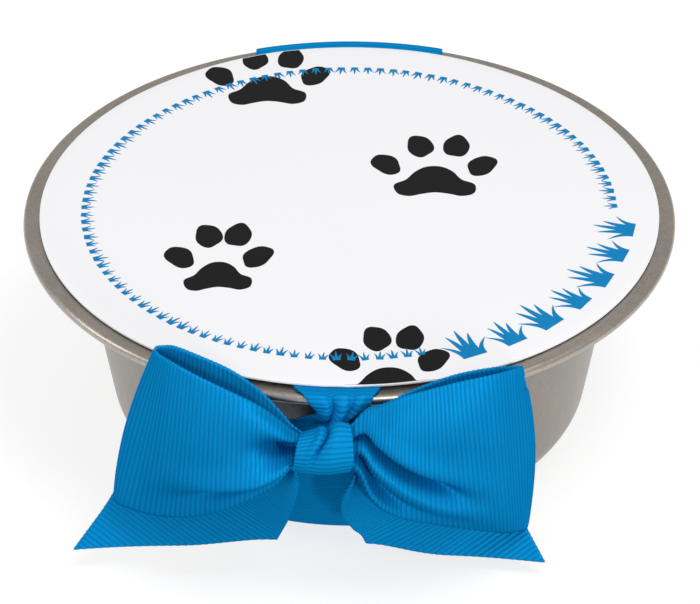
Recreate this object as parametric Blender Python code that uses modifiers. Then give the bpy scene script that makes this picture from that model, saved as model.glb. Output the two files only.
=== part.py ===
"""Cat grass growing kit: a flanged steel bowl closed by a printed card and tied with a ribbon bow.

The bowl stands on the XY plane with its middle on the Z axis. The bow is at the front, at -Y.
Sizes are in millimetres, and every mesh is built in metres.
"""
from collections import namedtuple
from math import acos, asin, atan2, cos, degrees, hypot, pi, radians, sin, sqrt

import bmesh
import bpy
from mathutils import Vector

MM = 0.001
GAP = 0.3

# Bowl: a drawn sheet with a flat flange and a rolled edge
RIM_RADIUS = 70.0
BEAD_RADIUS = 1.1
BEAD_HEIGHT = 50.0
FLANGE_HEIGHT = 50.3
STEEL = 0.8
WALL_TOP_RADIUS = 58.5
NECK_FILLET = 1.5
BASE_RADIUS = 41.0
CORNER_RADIUS = 11.0
BOWL_STEPS = 64

# Ribbon: one width and thickness for the band, the knot, the loops and the tails
RIBBON_WIDTH = 42.0
RIBBON = 0.6
# The band's width at the front rim, behind the knot, and under the front of the base
BAND_FRONT_WIDTH = 16.0
BAND_KNOT_WIDTH = 8.0
BAND_FOOT_WIDTH = 34.0
# How far above and below the knot the band is drawn sideways, how far in from the rim it spreads to
# its full width, the radius inside which it lies flat, and how far round the rolled edge it wraps
BAND_SHIFT_REACH = 18.0
BAND_SPREAD_REACH = 44.0
BAND_FLAT_RADIUS = 24.0
BAND_WRAP = 115.0

# Card lid
CARD_RADIUS = 66.5
CARD = 0.5

# What the kit holds
COIR_RADIUS = 41.0
COIR_HEIGHT = 14.0
COIR_EDGE = 1.0
SACHET_SIZE = (60.0, 76.0, 9.0)
SACHET_SEAL = 1.2
# How far in from its long and its short edges the packet reaches full thickness, as shares of the half
SACHET_FILL_SIDE = 0.5
SACHET_FILL_END = 0.35

# Knot: a barrel across the crossing, its axis along X
KNOT_CENTRE = (-4.9, -75.4, 42.0)
KNOT_LENGTH = 12.4
KNOT_DEPTH = 9.2
KNOT_HEIGHT = 12.6
KNOT_LEAN = 12.0
# The knot's girth at its waist, and how much of it is added toward the ends
KNOT_WAIST = 0.93
KNOT_FLARE = 0.07

BASE_UNDERSIDE = RIBBON + GAP
# The bow leans back over the rim at this slope, above and below the rolled edge
RIM_SLOPE = 1.2

Section = namedtuple("Section", "bottom top bulge gap_below gap_above")

# Bow loops, from the knot out to the fold: the front layer's lower and upper edge (x, y, z), how far
# it bulges forward between them, and how far behind it the back layer runs at each edge
LEFT_LOOP = (
    Section((-12.0, -73.6, 36.4), (-11.6, -73.6, 44.6), 2.2, 1.6, 1.6),
    Section((-15.0, -72.4, 31.2), (-14.4, -74.0, 48.4), 3.8, 2.2, 3.0),
    Section((-19.6, -71.4, 27.0), (-18.6, -74.4, 52.2), 5.4, 2.8, 5.4),
    Section((-25.4, -70.0, 23.2), (-24.0, -74.0, 55.2), 6.0, 3.4, 7.4),
    Section((-32.6, -68.0, 19.8), (-29.6, -72.6, 56.8), 5.0, 4.0, 8.6),
    Section((-40.6, -65.0, 18.0), (-34.6, -70.2, 57.6), 3.6, 4.4, 8.8),
    Section((-46.0, -61.8, 18.6), (-37.0, -67.4, 57.6), 2.0, 4.4, 6.6),
)
RIGHT_LOOP = (
    Section((1.9, -73.8, 35.0), (3.2, -74.0, 50.6), 2.4, 1.6, 1.8),
    Section((4.6, -72.0, 27.0), (6.4, -74.8, 52.8), 4.0, 1.8, 2.8),
    Section((9.2, -70.4, 21.8), (10.6, -75.6, 55.2), 5.4, 2.2, 4.2),
    Section((16.8, -68.8, 18.4), (15.6, -75.0, 56.4), 5.8, 2.6, 5.6),
    Section((25.6, -66.8, 15.8), (22.0, -73.6, 57.2), 4.6, 3.0, 6.4),
    Section((32.2, -64.8, 13.6), (28.8, -71.2, 57.0), 3.2, 3.2, 6.2),
    Section((35.6, -62.0, 12.4), (33.0, -68.2, 56.0), 1.8, 3.4, 5.0),
)
# Where the widest forward bulge of each loop lies, as a share of the way up its front layer, how much
# higher the back layer's upper edge lies than the front's, and how far the fold bows out
LEFT_BELLY = 0.42
RIGHT_BELLY = 0.40
LEFT_RISE = 0.2
RIGHT_RISE = -2.6
LEFT_FOLD_BOW = 0.6
RIGHT_FOLD_BOW = 2.0
# The back layer's own bulge, as a share of the front layer's, and how full each bulge's curve is: a
# power under 1 fills it out toward the edges
BACK_BULGE = 0.35
ARCH_FULLNESS = 0.8

TailSection = namedtuple("TailSection", "outer inner bulge")

# Tails, from the knot down: the outer and the inner edge of the ribbon, and its forward bulge. The
# last two run past the slanting cut, which crosses the inner and the outer edge at CUT stations
LEFT_TAIL = (
    TailSection((-11.8, -70.4, 40.0), (-10.8, -70.6, 35.4), 0.2),
    TailSection((-20.5, -66.6, 43.4), (-10.4, -69.6, 29.8), 0.4),
    TailSection((-30.5, -62.4, 43.6), (-11.2, -68.6, 24.2), 0.6),
    TailSection((-39.0, -57.8, 38.0), (-12.6, -67.4, 18.8), 0.6),
    TailSection((-45.0, -55.4, 28.6), (-15.0, -66.0, 12.6), 0.4),
    TailSection((-49.6, -56.2, 16.8), (-21.6, -65.4, -2.0), 0.4),
    TailSection((-57.8, -61.0, 6.1), (-31.0, -67.0, -13.0), 0.4),
)
RIGHT_TAIL = (
    TailSection((3.2, -70.4, 38.0), (1.2, -70.6, 33.0), 0.2),
    TailSection((12.4, -67.4, 40.6), (-1.4, -70.2, 26.4), 0.4),
    TailSection((22.4, -62.4, 38.6), (-1.4, -69.0, 21.0), 0.2),
    TailSection((29.4, -58.4, 32.0), (0.6, -68.0, 17.0), 0.0),
    TailSection((32.8, -56.6, 23.2), (3.4, -67.0, 12.4), 0.0),
    TailSection((35.2, -56.4, 13.4), (7.0, -67.0, -3.0), 0.0),
    TailSection((41.0, -62.4, 3.8), (13.4, -70.0, -15.0), 0.0),
)
CUT_AT_INNER = 4.0
CUT_AT_OUTER = 6.0

LOOP_ROWS_FRONT = 15
LOOP_ROWS_TURN = 5
LOOP_COLUMNS = 8
TAIL_ROWS = 12
TAIL_COLUMNS = 7
BAND_COLUMNS = 6
BAND_SIDE_ROWS = 8
KNOT_SEGMENTS = 20
KNOT_RINGS = 8


def clear_scene():
    for item in list(bpy.data.objects):
        bpy.data.objects.remove(item, do_unlink=True)


def material(name, colour, roughness, metallic=0.0):
    made = bpy.data.materials.new(name)
    made.use_nodes = True
    shader = made.node_tree.nodes["Principled BSDF"]
    shader.inputs["Base Color"].default_value = (*colour, 1.0)
    shader.inputs["Roughness"].default_value = roughness
    shader.inputs["Metallic"].default_value = metallic
    return made


def add_mesh(name, collection, finish, points, faces):
    mesh = bpy.data.meshes.new(name)
    mesh.from_pydata([Vector(p) * MM for p in points], [], faces)
    mesh.materials.append(finish)
    mesh.shade_smooth()
    item = bpy.data.objects.new(name, mesh)
    collection.objects.link(item)
    return item


def spline(values, at):
    """The point at a place between 0 and the last index, on a smooth curve through all the values."""
    last = len(values) - 1
    start = min(int(at), last - 1)
    t = at - start
    here = Vector(values[start])
    there = Vector(values[start + 1])
    before = Vector(values[start - 1]) if start else here * 2 - there
    after = Vector(values[start + 2]) if start + 2 <= last else there * 2 - here
    return 0.5 * (here * 2 + (there - before) * t
                  + (before * 2 - here * 5 + there * 4 - after) * t * t
                  + (here * 3 - before - there * 3 + after) * t ** 3)


def arc(centre, radius, start, end, steps):
    """Points on an arc from one angle to another, in degrees, both ends included."""
    angles = [radians(start + (end - start) * i / steps) for i in range(steps + 1)]
    return [(centre[0] + radius * cos(a), centre[1] + radius * sin(a)) for a in angles]


def tangent_angle(first, radius_first, second, radius_second):
    """The angle of the normal shared by two circles' tangent; a negative radius is on the far side."""
    across = (second[0] - first[0], second[1] - first[1])
    return degrees(atan2(across[1], across[0]) - acos((radius_first - radius_second) / hypot(*across)))


CORNER = (BASE_RADIUS, BASE_UNDERSIDE + CORNER_RADIUS)
NECK = (WALL_TOP_RADIUS + NECK_FILLET, FLANGE_HEIGHT - STEEL - NECK_FILLET)
BEAD = (RIM_RADIUS - BEAD_RADIUS, BEAD_HEIGHT)


def bowl_profile():
    """The bowl's closed section: up the inside, round the rolled edge, and down the outside."""
    wall = tangent_angle(CORNER, CORNER_RADIUS, NECK, -NECK_FILLET)
    inside = arc(CORNER, CORNER_RADIUS - STEEL, -90, wall, 6)
    inside += arc(NECK, NECK_FILLET + STEEL, wall + 180, 90, 4)
    flange_top = degrees(asin((FLANGE_HEIGHT - BEAD_HEIGHT) / BEAD_RADIUS))
    flange_under = degrees(asin((BEAD_HEIGHT - FLANGE_HEIGHT + STEEL) / BEAD_RADIUS))
    bead = arc(BEAD, BEAD_RADIUS, 180 - flange_top, flange_under - 180, 10)
    outside = arc(NECK, NECK_FILLET, 90, wall + 180, 4)
    outside += arc(CORNER, CORNER_RADIUS, wall, -90, 6)
    floor = BASE_UNDERSIDE + STEEL
    return [(0.0, floor)] + inside + bead + outside + [(0.0, BASE_UNDERSIDE)]


def turned(name, collection, finish, profile, steps):
    edges = [(i, i + 1) for i in range(len(profile) - 1)]
    mesh = bpy.data.meshes.new(name)
    mesh.from_pydata([(r * MM, 0.0, z * MM) for r, z in profile], edges, [])
    mesh.materials.append(finish)
    item = bpy.data.objects.new(name, mesh)
    collection.objects.link(item)
    screw = item.modifiers.new("Turn", "SCREW")
    screw.steps = steps
    screw.render_steps = steps
    screw.use_merge_vertices = True
    screw.merge_threshold = 0.00001
    screw.use_smooth_shade = True
    return item


def disc(name, collection, finish, radius, height, bottom, edge=0.0, vertices=96):
    bpy.ops.mesh.primitive_cylinder_add(vertices=vertices, radius=radius * MM, depth=height * MM,
                                        location=(0.0, 0.0, (bottom + height / 2) * MM))
    item = bpy.context.object
    item.name = name
    item.data.name = name
    item.data.materials.append(finish)
    if edge:
        bevel = item.modifiers.new("Edge", "BEVEL")
        bevel.width = edge * MM
        bevel.segments = 2
        bevel.limit_method = "ANGLE"
    for holder in list(item.users_collection):
        holder.objects.unlink(item)
    collection.objects.link(item)
    return item


def cloth(name, collection, finish, place, rows, columns, closed=False):
    """A ribbon piece: a grid of points from place(row, column), given the ribbon's thickness."""
    count = rows if closed else rows + 1
    points = [place(i, j / columns) for i in range(count) for j in range(columns + 1)]
    faces = []
    for i in range(rows):
        here = i * (columns + 1)
        there = ((i + 1) % count) * (columns + 1)
        faces += [(here + j, here + j + 1, there + j + 1, there + j) for j in range(columns)]
    item = add_mesh(name, collection, finish, points, faces)
    solidify = item.modifiers.new("Ribbon", "SOLIDIFY")
    solidify.thickness = RIBBON * MM
    solidify.offset = 0.0
    return item


def arch(share, crest):
    """A bulge that is 0 at both edges and 1 at its crest, a share of the way up."""
    side = share / crest if share < crest else (1 - share) / (1 - crest)
    return sin(max(side, 0.0) * pi / 2) ** ARCH_FULLNESS


def loop_layers(loop, along, across):
    """One place on a loop's front layer, and the place behind it on the back layer."""
    sections, crest, rise, _ = loop
    bottom = spline([s.bottom for s in sections], along)
    top = spline([s.top for s in sections], along)
    sizes = spline([(s.bulge, s.gap_below, s.gap_above) for s in sections], along)
    bulge = sizes.x * arch(across, crest)
    gap = sizes.y + (sizes.z - sizes.y) * across
    edge = bottom.lerp(top, across)
    front = edge + Vector((0.0, -bulge, 0.0))
    back = edge + Vector((0.0, gap - BACK_BULGE * bulge, rise * across * ease(along)))
    back.y = min(back.y, rim_limit(back.x, back.z))
    return front, back


def rim_limit(x, height):
    """How far back the bow may reach: up to the rolled edge, and further above and below it."""
    clear = RIM_RADIUS + GAP + RIBBON
    above = max(height - BEAD_HEIGHT - BEAD_RADIUS - RIBBON, 0.0)
    below = max(BEAD_HEIGHT - BEAD_RADIUS - RIBBON - height, 0.0)
    return RIM_SLOPE * (above + below) - sqrt(max(clear ** 2 - x ** 2, 0.0))


def bow_loop(name, collection, finish, loop):
    """A folded loop: out from the knot in front, round the fold, and back behind."""
    sections, _, _, fold_bow = loop
    last = len(sections) - 1
    outward = 1.0 if sections[-1].bottom[0] > 0 else -1.0

    def place(row, across):
        if row <= LOOP_ROWS_FRONT:
            return loop_layers(loop, last * row / LOOP_ROWS_FRONT, across)[0]
        if row >= LOOP_ROWS_FRONT + LOOP_ROWS_TURN:
            left = 2 * LOOP_ROWS_FRONT + LOOP_ROWS_TURN - row
            return loop_layers(loop, last * left / LOOP_ROWS_FRONT, across)[1]
        front, back = loop_layers(loop, last, across)
        middle = (front + back) / 2
        turn = pi * (row - LOOP_ROWS_FRONT) / LOOP_ROWS_TURN
        out = (back - front).length / 2 + fold_bow * sin(pi * across)
        return middle + (front - middle) * cos(turn) + Vector((outward * out, 0.0, 0.0)) * sin(turn)

    rows = 2 * LOOP_ROWS_FRONT + LOOP_ROWS_TURN
    return cloth(name, collection, finish, place, rows, LOOP_COLUMNS)


def bow_tail(name, collection, finish, sections):
    """A free end: out from the knot, spread to full width, and cut on a slant."""

    def place(row, across):
        cut = CUT_AT_OUTER + (CUT_AT_INNER - CUT_AT_OUTER) * across
        along = cut * row / TAIL_ROWS
        outer = spline([s.outer for s in sections], along)
        inner = spline([s.inner for s in sections], along)
        bulge = spline([(s.bulge, 0.0, 0.0) for s in sections], along).x
        return outer.lerp(inner, across) - Vector((0.0, bulge * sin(pi * across), 0.0))

    return cloth(name, collection, finish, place, TAIL_ROWS, TAIL_COLUMNS)


def ease(share):
    share = min(max(share, 0.0), 1.0)
    return share * share * (3 - 2 * share)


def band_path():
    """The band's middle line in a plane through the bowl's axis, closed, as (side, radius, height)."""
    off = GAP + RIBBON / 2
    lean = tangent_angle(CORNER, CORNER_RADIUS + off, BEAD, BEAD_RADIUS + off)
    corner = arc(CORNER, CORNER_RADIUS + off, -90, lean, 5)
    bead = arc(BEAD, BEAD_RADIUS + off, lean, BAND_WRAP, 5)
    foot, head = corner[-1], bead[0]
    shares = [i / BAND_SIDE_ROWS for i in range(1, BAND_SIDE_ROWS)]
    side = [(foot[0] + (head[0] - foot[0]) * s, foot[1] + (head[1] - foot[1]) * s) for s in shares]
    mouth = FLANGE_HEIGHT + off
    step = (RIM_RADIUS - BAND_FLAT_RADIUS) / 3
    under_card = [(CARD_RADIUS + GAP, mouth)]
    under_card += [(RIM_RADIUS - step * i, mouth) for i in range(1, 4)]
    half = [(BAND_FLAT_RADIUS, RIBBON / 2)] + corner + side + bead + under_card
    front = [(-1, radius, height) for radius, height in half]
    back = [(1, radius, height) for radius, height in half]
    return [(1, 0.0, RIBBON / 2)] + front + [(1, 0.0, mouth)] + back[::-1]


def band_width(radius, height):
    """The band's width in front: gathered to the knot's width behind it, spreading both ways."""
    if height > BEAD_HEIGHT:
        spread = ease((RIM_RADIUS - radius) / BAND_SPREAD_REACH)
        return BAND_FRONT_WIDTH + (RIBBON_WIDTH - BAND_FRONT_WIDTH) * spread
    if height > KNOT_CENTRE[2]:
        spread = ease((height - KNOT_CENTRE[2]) / (BEAD_HEIGHT - KNOT_CENTRE[2]))
        return BAND_KNOT_WIDTH + (BAND_FRONT_WIDTH - BAND_KNOT_WIDTH) * spread
    spread = ease((KNOT_CENTRE[2] - height) / (KNOT_CENTRE[2] - BASE_UNDERSIDE))
    return BAND_KNOT_WIDTH + (BAND_FOOT_WIDTH - BAND_KNOT_WIDTH) * spread


def band_shift(height):
    """How far the band is drawn sideways toward the knot."""
    return KNOT_CENTRE[0] * (1 - ease(abs(height - KNOT_CENTRE[2]) / BAND_SHIFT_REACH))


def ribbon_band(name, collection, finish):
    path = band_path()

    def place(row, across):
        side, radius, height = path[row]
        width, x = RIBBON_WIDTH, 0.0
        if side < 0:
            width = band_width(radius, height)
            x = band_shift(height)
            if height < BASE_UNDERSIDE:
                width = BAND_FOOT_WIDTH
        x += width * (across - 1 / 2)
        bend = ease((radius - BAND_FLAT_RADIUS) / BAND_FLAT_RADIUS)
        curved = sqrt(max(radius ** 2 - x ** 2, 0.0))
        return Vector((x, side * (radius + (curved - radius) * bend), height))

    return cloth(name, collection, finish, place, len(path), BAND_COLUMNS, closed=True)


def ribbon_knot(name, collection, finish):
    """The wrap round the crossing: an oval barrel, waisted in the middle of its length."""
    segments, rings = KNOT_SEGMENTS, KNOT_RINGS
    lean = radians(KNOT_LEAN)
    points = []
    for ring in range(rings + 1):
        share = ring / rings - 0.5
        girth = KNOT_WAIST + KNOT_FLARE * (2 * share) ** 2
        for step in range(segments):
            angle = 2 * pi * step / segments
            y = -cos(angle) * KNOT_DEPTH / 2 * girth
            z = sin(angle) * KNOT_HEIGHT / 2 * girth
            points.append((KNOT_CENTRE[0] + KNOT_LENGTH * share,
                           KNOT_CENTRE[1] + y * cos(lean) - z * sin(lean),
                           KNOT_CENTRE[2] + z * cos(lean) + y * sin(lean)))
    faces = [list(range(segments)), list(range(rings * segments, (rings + 1) * segments))[::-1]]
    for ring in range(rings):
        for step in range(segments):
            a = ring * segments + step
            b = ring * segments + (step + 1) % segments
            faces.append((a, a + segments, b + segments, b))
    return add_mesh(name, collection, finish, points, faces)


def seed_sachet(name, collection, finish, bottom):
    """A flat packet: a thin welded border round a filled middle."""
    width, length, height = SACHET_SIZE
    bpy.ops.mesh.primitive_cube_add(size=1.0, location=(0.0, 0.0, (bottom + height / 2) * MM))
    item = bpy.context.object
    item.name = name
    item.data.name = name
    item.data.materials.append(finish)
    item.scale = (width * MM, length * MM, height * MM)
    bpy.ops.object.transform_apply(location=False, rotation=False, scale=True)
    mesh = bmesh.new()
    mesh.from_mesh(item.data)
    bmesh.ops.subdivide_edges(mesh, edges=mesh.edges[:], cuts=5, use_grid_fill=True)
    for vertex in mesh.verts:
        across = 1 - abs(vertex.co.x) / (width / 2 * MM)
        along = 1 - abs(vertex.co.y) / (length / 2 * MM)
        fill = ease(across / SACHET_FILL_SIDE) * ease(along / SACHET_FILL_END)
        half = (SACHET_SEAL + (height - SACHET_SEAL) * fill) / height
        vertex.co.z *= half
    mesh.to_mesh(item.data)
    mesh.free()
    item.data.shade_smooth()
    for holder in list(item.users_collection):
        holder.objects.unlink(item)
    collection.objects.link(item)
    return item


def main():
    clear_scene()
    collection = bpy.data.collections.new("cat_grass_growing_kit")
    bpy.context.scene.collection.children.link(collection)
    steel = material("satin_steel", (0.55, 0.53, 0.49), 0.34, 1.0)
    board = material("white_card", (0.91, 0.91, 0.94), 0.45)
    blue = material("blue_grosgrain", (0.0, 0.2, 0.52), 0.55)
    coir = material("pressed_coir", (0.13, 0.07, 0.035), 0.95)
    paper = material("kraft_paper", (0.48, 0.33, 0.2), 0.8)

    turned("steel_bowl", collection, steel, bowl_profile(), BOWL_STEPS)
    coir_bottom = BASE_UNDERSIDE + STEEL + GAP
    disc("coir_disc", collection, coir, COIR_RADIUS, COIR_HEIGHT, coir_bottom, COIR_EDGE, 48)
    seed_sachet("seed_sachet", collection, paper, coir_bottom + COIR_HEIGHT + GAP)
    card_bottom = FLANGE_HEIGHT + GAP + RIBBON + GAP
    disc("card_lid", collection, board, CARD_RADIUS, CARD, card_bottom)
    ribbon_band("ribbon_band", collection, blue)
    ribbon_knot("ribbon_knot", collection, blue)
    left = (LEFT_LOOP, LEFT_BELLY, LEFT_RISE, LEFT_FOLD_BOW)
    right = (RIGHT_LOOP, RIGHT_BELLY, RIGHT_RISE, RIGHT_FOLD_BOW)
    bow_loop("bow_loop_left", collection, blue, left)
    bow_loop("bow_loop_right", collection, blue, right)
    bow_tail("ribbon_tail_left", collection, blue, LEFT_TAIL)
    bow_tail("ribbon_tail_right", collection, blue, RIGHT_TAIL)


main()
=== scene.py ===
"""Cat grass growing kit: a steel bowl under a printed card lid, tied with a grosgrain ribbon bow.

Laid out as an add-on: one operator for each piece, one for the stage, and a panel that lists them.
Lengths in the code are in millimetres unless a comment says so, and every mesh is made in metres.
"""
from collections import namedtuple
from math import acos, asin, atan2, cos, degrees, hypot, pi, radians, sin

import bmesh
import bpy
import numpy as np
from bpy.props import FloatProperty, FloatVectorProperty, IntProperty, PointerProperty
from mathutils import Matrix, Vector, noise


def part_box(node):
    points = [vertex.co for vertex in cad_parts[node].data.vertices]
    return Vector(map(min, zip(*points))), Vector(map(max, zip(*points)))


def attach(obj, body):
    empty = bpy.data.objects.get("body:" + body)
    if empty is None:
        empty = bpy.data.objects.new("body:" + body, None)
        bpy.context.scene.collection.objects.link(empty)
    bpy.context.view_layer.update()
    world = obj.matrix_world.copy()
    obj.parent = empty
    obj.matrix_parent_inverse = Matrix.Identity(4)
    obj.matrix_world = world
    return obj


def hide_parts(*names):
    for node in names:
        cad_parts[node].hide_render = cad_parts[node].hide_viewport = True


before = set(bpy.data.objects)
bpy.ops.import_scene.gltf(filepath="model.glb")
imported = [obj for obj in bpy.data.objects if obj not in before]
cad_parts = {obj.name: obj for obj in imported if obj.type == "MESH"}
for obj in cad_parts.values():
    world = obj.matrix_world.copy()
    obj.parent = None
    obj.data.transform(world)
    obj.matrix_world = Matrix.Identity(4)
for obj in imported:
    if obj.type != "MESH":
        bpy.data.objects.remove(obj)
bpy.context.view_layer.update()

bl_info = {
    "name": "Cat grass growing kit",
    "version": (1, 0, 0),
    "blender": (4, 5, 0),
    "location": "3D View > Sidebar > Grass kit",
    "description": "Makes a steel bowl with a printed card lid, tied with a ribbon bow",
    "category": "Add Mesh",
}

MM = 0.001
BODY = "root"


# Curves and grids

def ease(share):
    share = np.clip(share, 0.0, 1.0)
    return share * share * (3 - 2 * share)


def spline(values, at):
    """Places on a smooth curve through all the values; at runs from 0 to the last index."""
    values = np.asarray(values, float)
    single = values.ndim == 1
    if single:
        values = values[:, None]
    at = np.asarray(at, float)
    last = len(values) - 1
    start = np.clip(np.floor(at).astype(int), 0, last - 1)
    t = (at - start)[..., None]
    lead = np.concatenate([2 * values[:1] - values[1:2], values, 2 * values[-1:] - values[-2:-1]])
    before, here, there, after = (lead[start + i] for i in range(4))
    made = 0.5 * (here * 2 + (there - before) * t
                  + (before * 2 - here * 5 + there * 4 - after) * t ** 2
                  + (here * 3 - before - there * 3 + after) * t ** 3)
    return made[..., 0] if single else made


def arc(centre, radius, start, end, steps):
    """Points on an arc from one angle to another, in degrees, both ends included."""
    angles = [radians(start + (end - start) * i / steps) for i in range(steps + 1)]
    return [(centre[0] + radius * cos(a), centre[1] + radius * sin(a)) for a in angles]


def tangent_angle(first, radius_first, second, radius_second):
    """The angle of the normal shared by two circles' tangent; a negative radius is on the far side."""
    across = (second[0] - first[0], second[1] - first[1])
    return degrees(atan2(across[1], across[0]) - acos((radius_first - radius_second) / hypot(*across)))


# A surface is measured on this many rows, along these lines across it
MEASURED_ROWS = 1200
MEASURED_LINES = np.linspace(0.06, 0.94, 9)


def even_places(surface):
    """How long a surface is along its length, and the places on it that divide it evenly."""
    share = np.linspace(0.0, 1.0, MEASURED_ROWS)
    grid = surface(share[:, None], MEASURED_LINES[None, :])
    steps = np.linalg.norm(np.diff(grid, axis=0), axis=2).mean(axis=1)
    run = np.concatenate([[0.0], np.cumsum(steps)])

    def place(part):
        return np.interp(np.asarray(part) * run[-1], run, share)

    return run[-1], place


def grid_faces(rows, columns, closed):
    """Quads between neighbouring rows of a grid of points."""
    here = np.arange(rows)[:, None] * (columns + 1) + np.arange(columns)[None, :]
    there = here + columns + 1
    if closed:
        there = there % (rows * (columns + 1))
    quads = np.stack([here, here + 1, there + 1, there], axis=-1)
    return quads.reshape(-1, 4)


# Meshes

def new_object(name, mesh):
    item = bpy.data.objects.new(name, mesh)
    bpy.context.scene.collection.objects.link(item)
    return item


def mesh_from(name, points, faces):
    mesh = bpy.data.meshes.new(name)
    mesh.from_pydata((np.asarray(points, float) * MM).tolist(), [], [list(f) for f in faces])
    return mesh


MERGE_DISTANCE = 0.0000005


def tidy(mesh):
    """Merges doubles and turns every face outwards."""
    work = bmesh.new()
    work.from_mesh(mesh)
    bmesh.ops.remove_doubles(work, verts=work.verts, dist=MERGE_DISTANCE)
    bmesh.ops.recalc_face_normals(work, faces=work.faces)
    work.to_mesh(mesh)
    work.free()
    mesh.update()


def plain(item):
    """Turns an object's modifiers into its mesh."""
    graph = bpy.context.evaluated_depsgraph_get()
    made = bpy.data.meshes.new_from_object(item.evaluated_get(graph), preserve_all_data_layers=True,
                                           depsgraph=graph)
    old = item.data
    item.modifiers.clear()
    item.data = made
    bpy.data.meshes.remove(old)
    made.name = item.name
    return item


def set_inputs(modifier, values):
    """Sets a Geometry Nodes modifier's named inputs, by each socket's identifier."""
    for socket in modifier.node_group.interface.items_tree:
        if socket.item_type == "SOCKET" and socket.in_out == "INPUT" and socket.name in values:
            modifier[socket.identifier] = values[socket.name]


def finished(item, finish, node=None):
    """Gives a piece its finish and sets it on the frame."""
    item.data.materials.clear()
    item.data.materials.append(finish)
    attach(item, BODY)
    if node:
        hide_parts(node)


# Settings

def length_setting(name, description, millimetres):
    return FloatProperty(name=name, description=description, default=millimetres * MM, unit="LENGTH",
                         precision=6)


def share_setting(name, description, default):
    return FloatProperty(name=name, description=description, default=default, min=0.0, max=1.0,
                         subtype="FACTOR")


def colour_setting(name, description, default):
    return FloatVectorProperty(name=name, description=description, default=default, min=0.0, max=1.0,
                               subtype="COLOR")


def strength_setting(name, description, default):
    return FloatProperty(name=name, description=description, default=default, min=0.0)


def power_setting(name, description, watts):
    return FloatProperty(name=name, description=description, default=watts, min=0.0, unit="POWER")


# Node trees

class Wire:
    """An output socket; sums written with it add Math nodes."""

    def __init__(self, graph, socket):
        self.graph = graph
        self.socket = socket

    def maths(self, operation, *terms):
        return self.graph.add("ShaderNodeMath", {"operation": operation}, dict(enumerate(terms)))

    def __add__(self, other):
        return self.maths("ADD", self, other)

    def __sub__(self, other):
        return self.maths("SUBTRACT", self, other)

    def __rsub__(self, other):
        return self.maths("SUBTRACT", other, self)

    def __mul__(self, other):
        return self.maths("MULTIPLY", self, other)

    def __truediv__(self, other):
        return self.maths("DIVIDE", self, other)

    def __pow__(self, other):
        return self.maths("POWER", self, other)

    def __abs__(self):
        return self.maths("ABSOLUTE", self)

    __radd__ = __add__
    __rmul__ = __mul__

    def sine(self):
        return self.maths("SINE", self)

    def cosine(self):
        return self.maths("COSINE", self)

    def kept(self):
        """The value held between 0 and 1."""
        return self.graph.add("ShaderNodeClamp", {}, {"Value": self})


class Graph:
    """A node tree as it is put together."""

    def __init__(self, tree):
        self.tree = tree

    def add(self, kind, settings=None, inputs=None, output=0):
        """Adds a node: its settings first, then the values or links of its sockets."""
        made = self.tree.nodes.new(kind)
        for name, value in (settings or {}).items():
            if name == "stops":
                while len(made.color_ramp.elements) < len(value):
                    made.color_ramp.elements.new(1.0)
                for element, (place, colour) in zip(made.color_ramp.elements, value):
                    element.position = place
                    element.color = colour
            else:
                setattr(made, name, value)
        for key, value in (inputs or {}).items():
            if isinstance(value, Wire):
                self.tree.links.new(value.socket, made.inputs[key])
            else:
                made.inputs[key].default_value = value
        return Wire(self, made.outputs[output])

    def mix(self, factor, first, second):
        """A colour between two colours."""
        return self.add("ShaderNodeMix", {"data_type": "RGBA"}, {0: factor, 6: first, 7: second}, 2)

    def attribute(self, name, output="Fac"):
        return self.add("ShaderNodeAttribute", {"attribute_name": name}, {}, output)

    def noise(self, vector, scale, detail=2.0, roughness=0.5):
        return self.add("ShaderNodeTexNoise", {}, {"Vector": vector, "Scale": scale, "Detail": detail,
                                                   "Roughness": roughness})

    def stretched(self, vector, scale):
        return self.add("ShaderNodeMapping", {}, {"Vector": vector, "Scale": scale})

    def object_place(self):
        return self.add("ShaderNodeTexCoord", {}, {}, "Object")

    def bump(self, height, strength, distance):
        return self.add("ShaderNodeBump", {}, {"Height": height, "Strength": strength,
                                               "Distance": distance})


def rgba(colour, factor=1.0):
    return tuple(min(c * factor, 1.0) for c in tuple(colour)[:3]) + (1.0,)


def new_finish(name, constants):
    """A material whose unvarying numbers sit on the shader's own sockets."""
    made = bpy.data.materials.new(name)
    made.use_nodes = True
    shader = made.node_tree.nodes["Principled BSDF"]
    for key, value in constants.items():
        shader.inputs[key].default_value = value
    return made, Graph(made.node_tree), shader


def wire_up(graph, shader, links):
    for key, value in links.items():
        graph.tree.links.new(value.socket, shader.inputs[key])


def new_geometry_tree(name, inputs):
    """An empty Geometry Nodes tree with named inputs, and wires from them."""
    tree = bpy.data.node_groups.new(name, "GeometryNodeTree")
    tree.is_modifier = True
    tree.interface.new_socket("Geometry", in_out="INPUT", socket_type="NodeSocketGeometry")
    for label, kind, default in inputs:
        socket = tree.interface.new_socket(label, in_out="INPUT", socket_type=kind)
        if default is not None:
            socket.default_value = default
    tree.interface.new_socket("Geometry", in_out="OUTPUT", socket_type="NodeSocketGeometry")
    graph = Graph(tree)
    entry = tree.nodes.new("NodeGroupInput")
    return graph, {s.name: Wire(graph, s) for s in entry.outputs if s.name}


def close_geometry_tree(graph, geometry, finish):
    real = graph.add("GeometryNodeRealizeInstances", {}, {"Geometry": geometry})
    coated = graph.add("GeometryNodeSetMaterial", {}, {"Geometry": real, "Material": finish})
    way_out = graph.tree.nodes.new("NodeGroupOutput")
    graph.tree.links.new(coated.socket, way_out.inputs[0])


# Finishes

# The wall is painted darker below this height, a painted shade that fades in over this distance, both in
# metres
WALL_TOP_HEIGHT = 0.0488
WALL_SHADE_FADE = 0.003
BLACK = (0.0, 0.0, 0.0, 1.0)
# How far apart the warp threads that run along the ribbon lie, in millimetres
WARP_PITCH = 0.36


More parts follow.
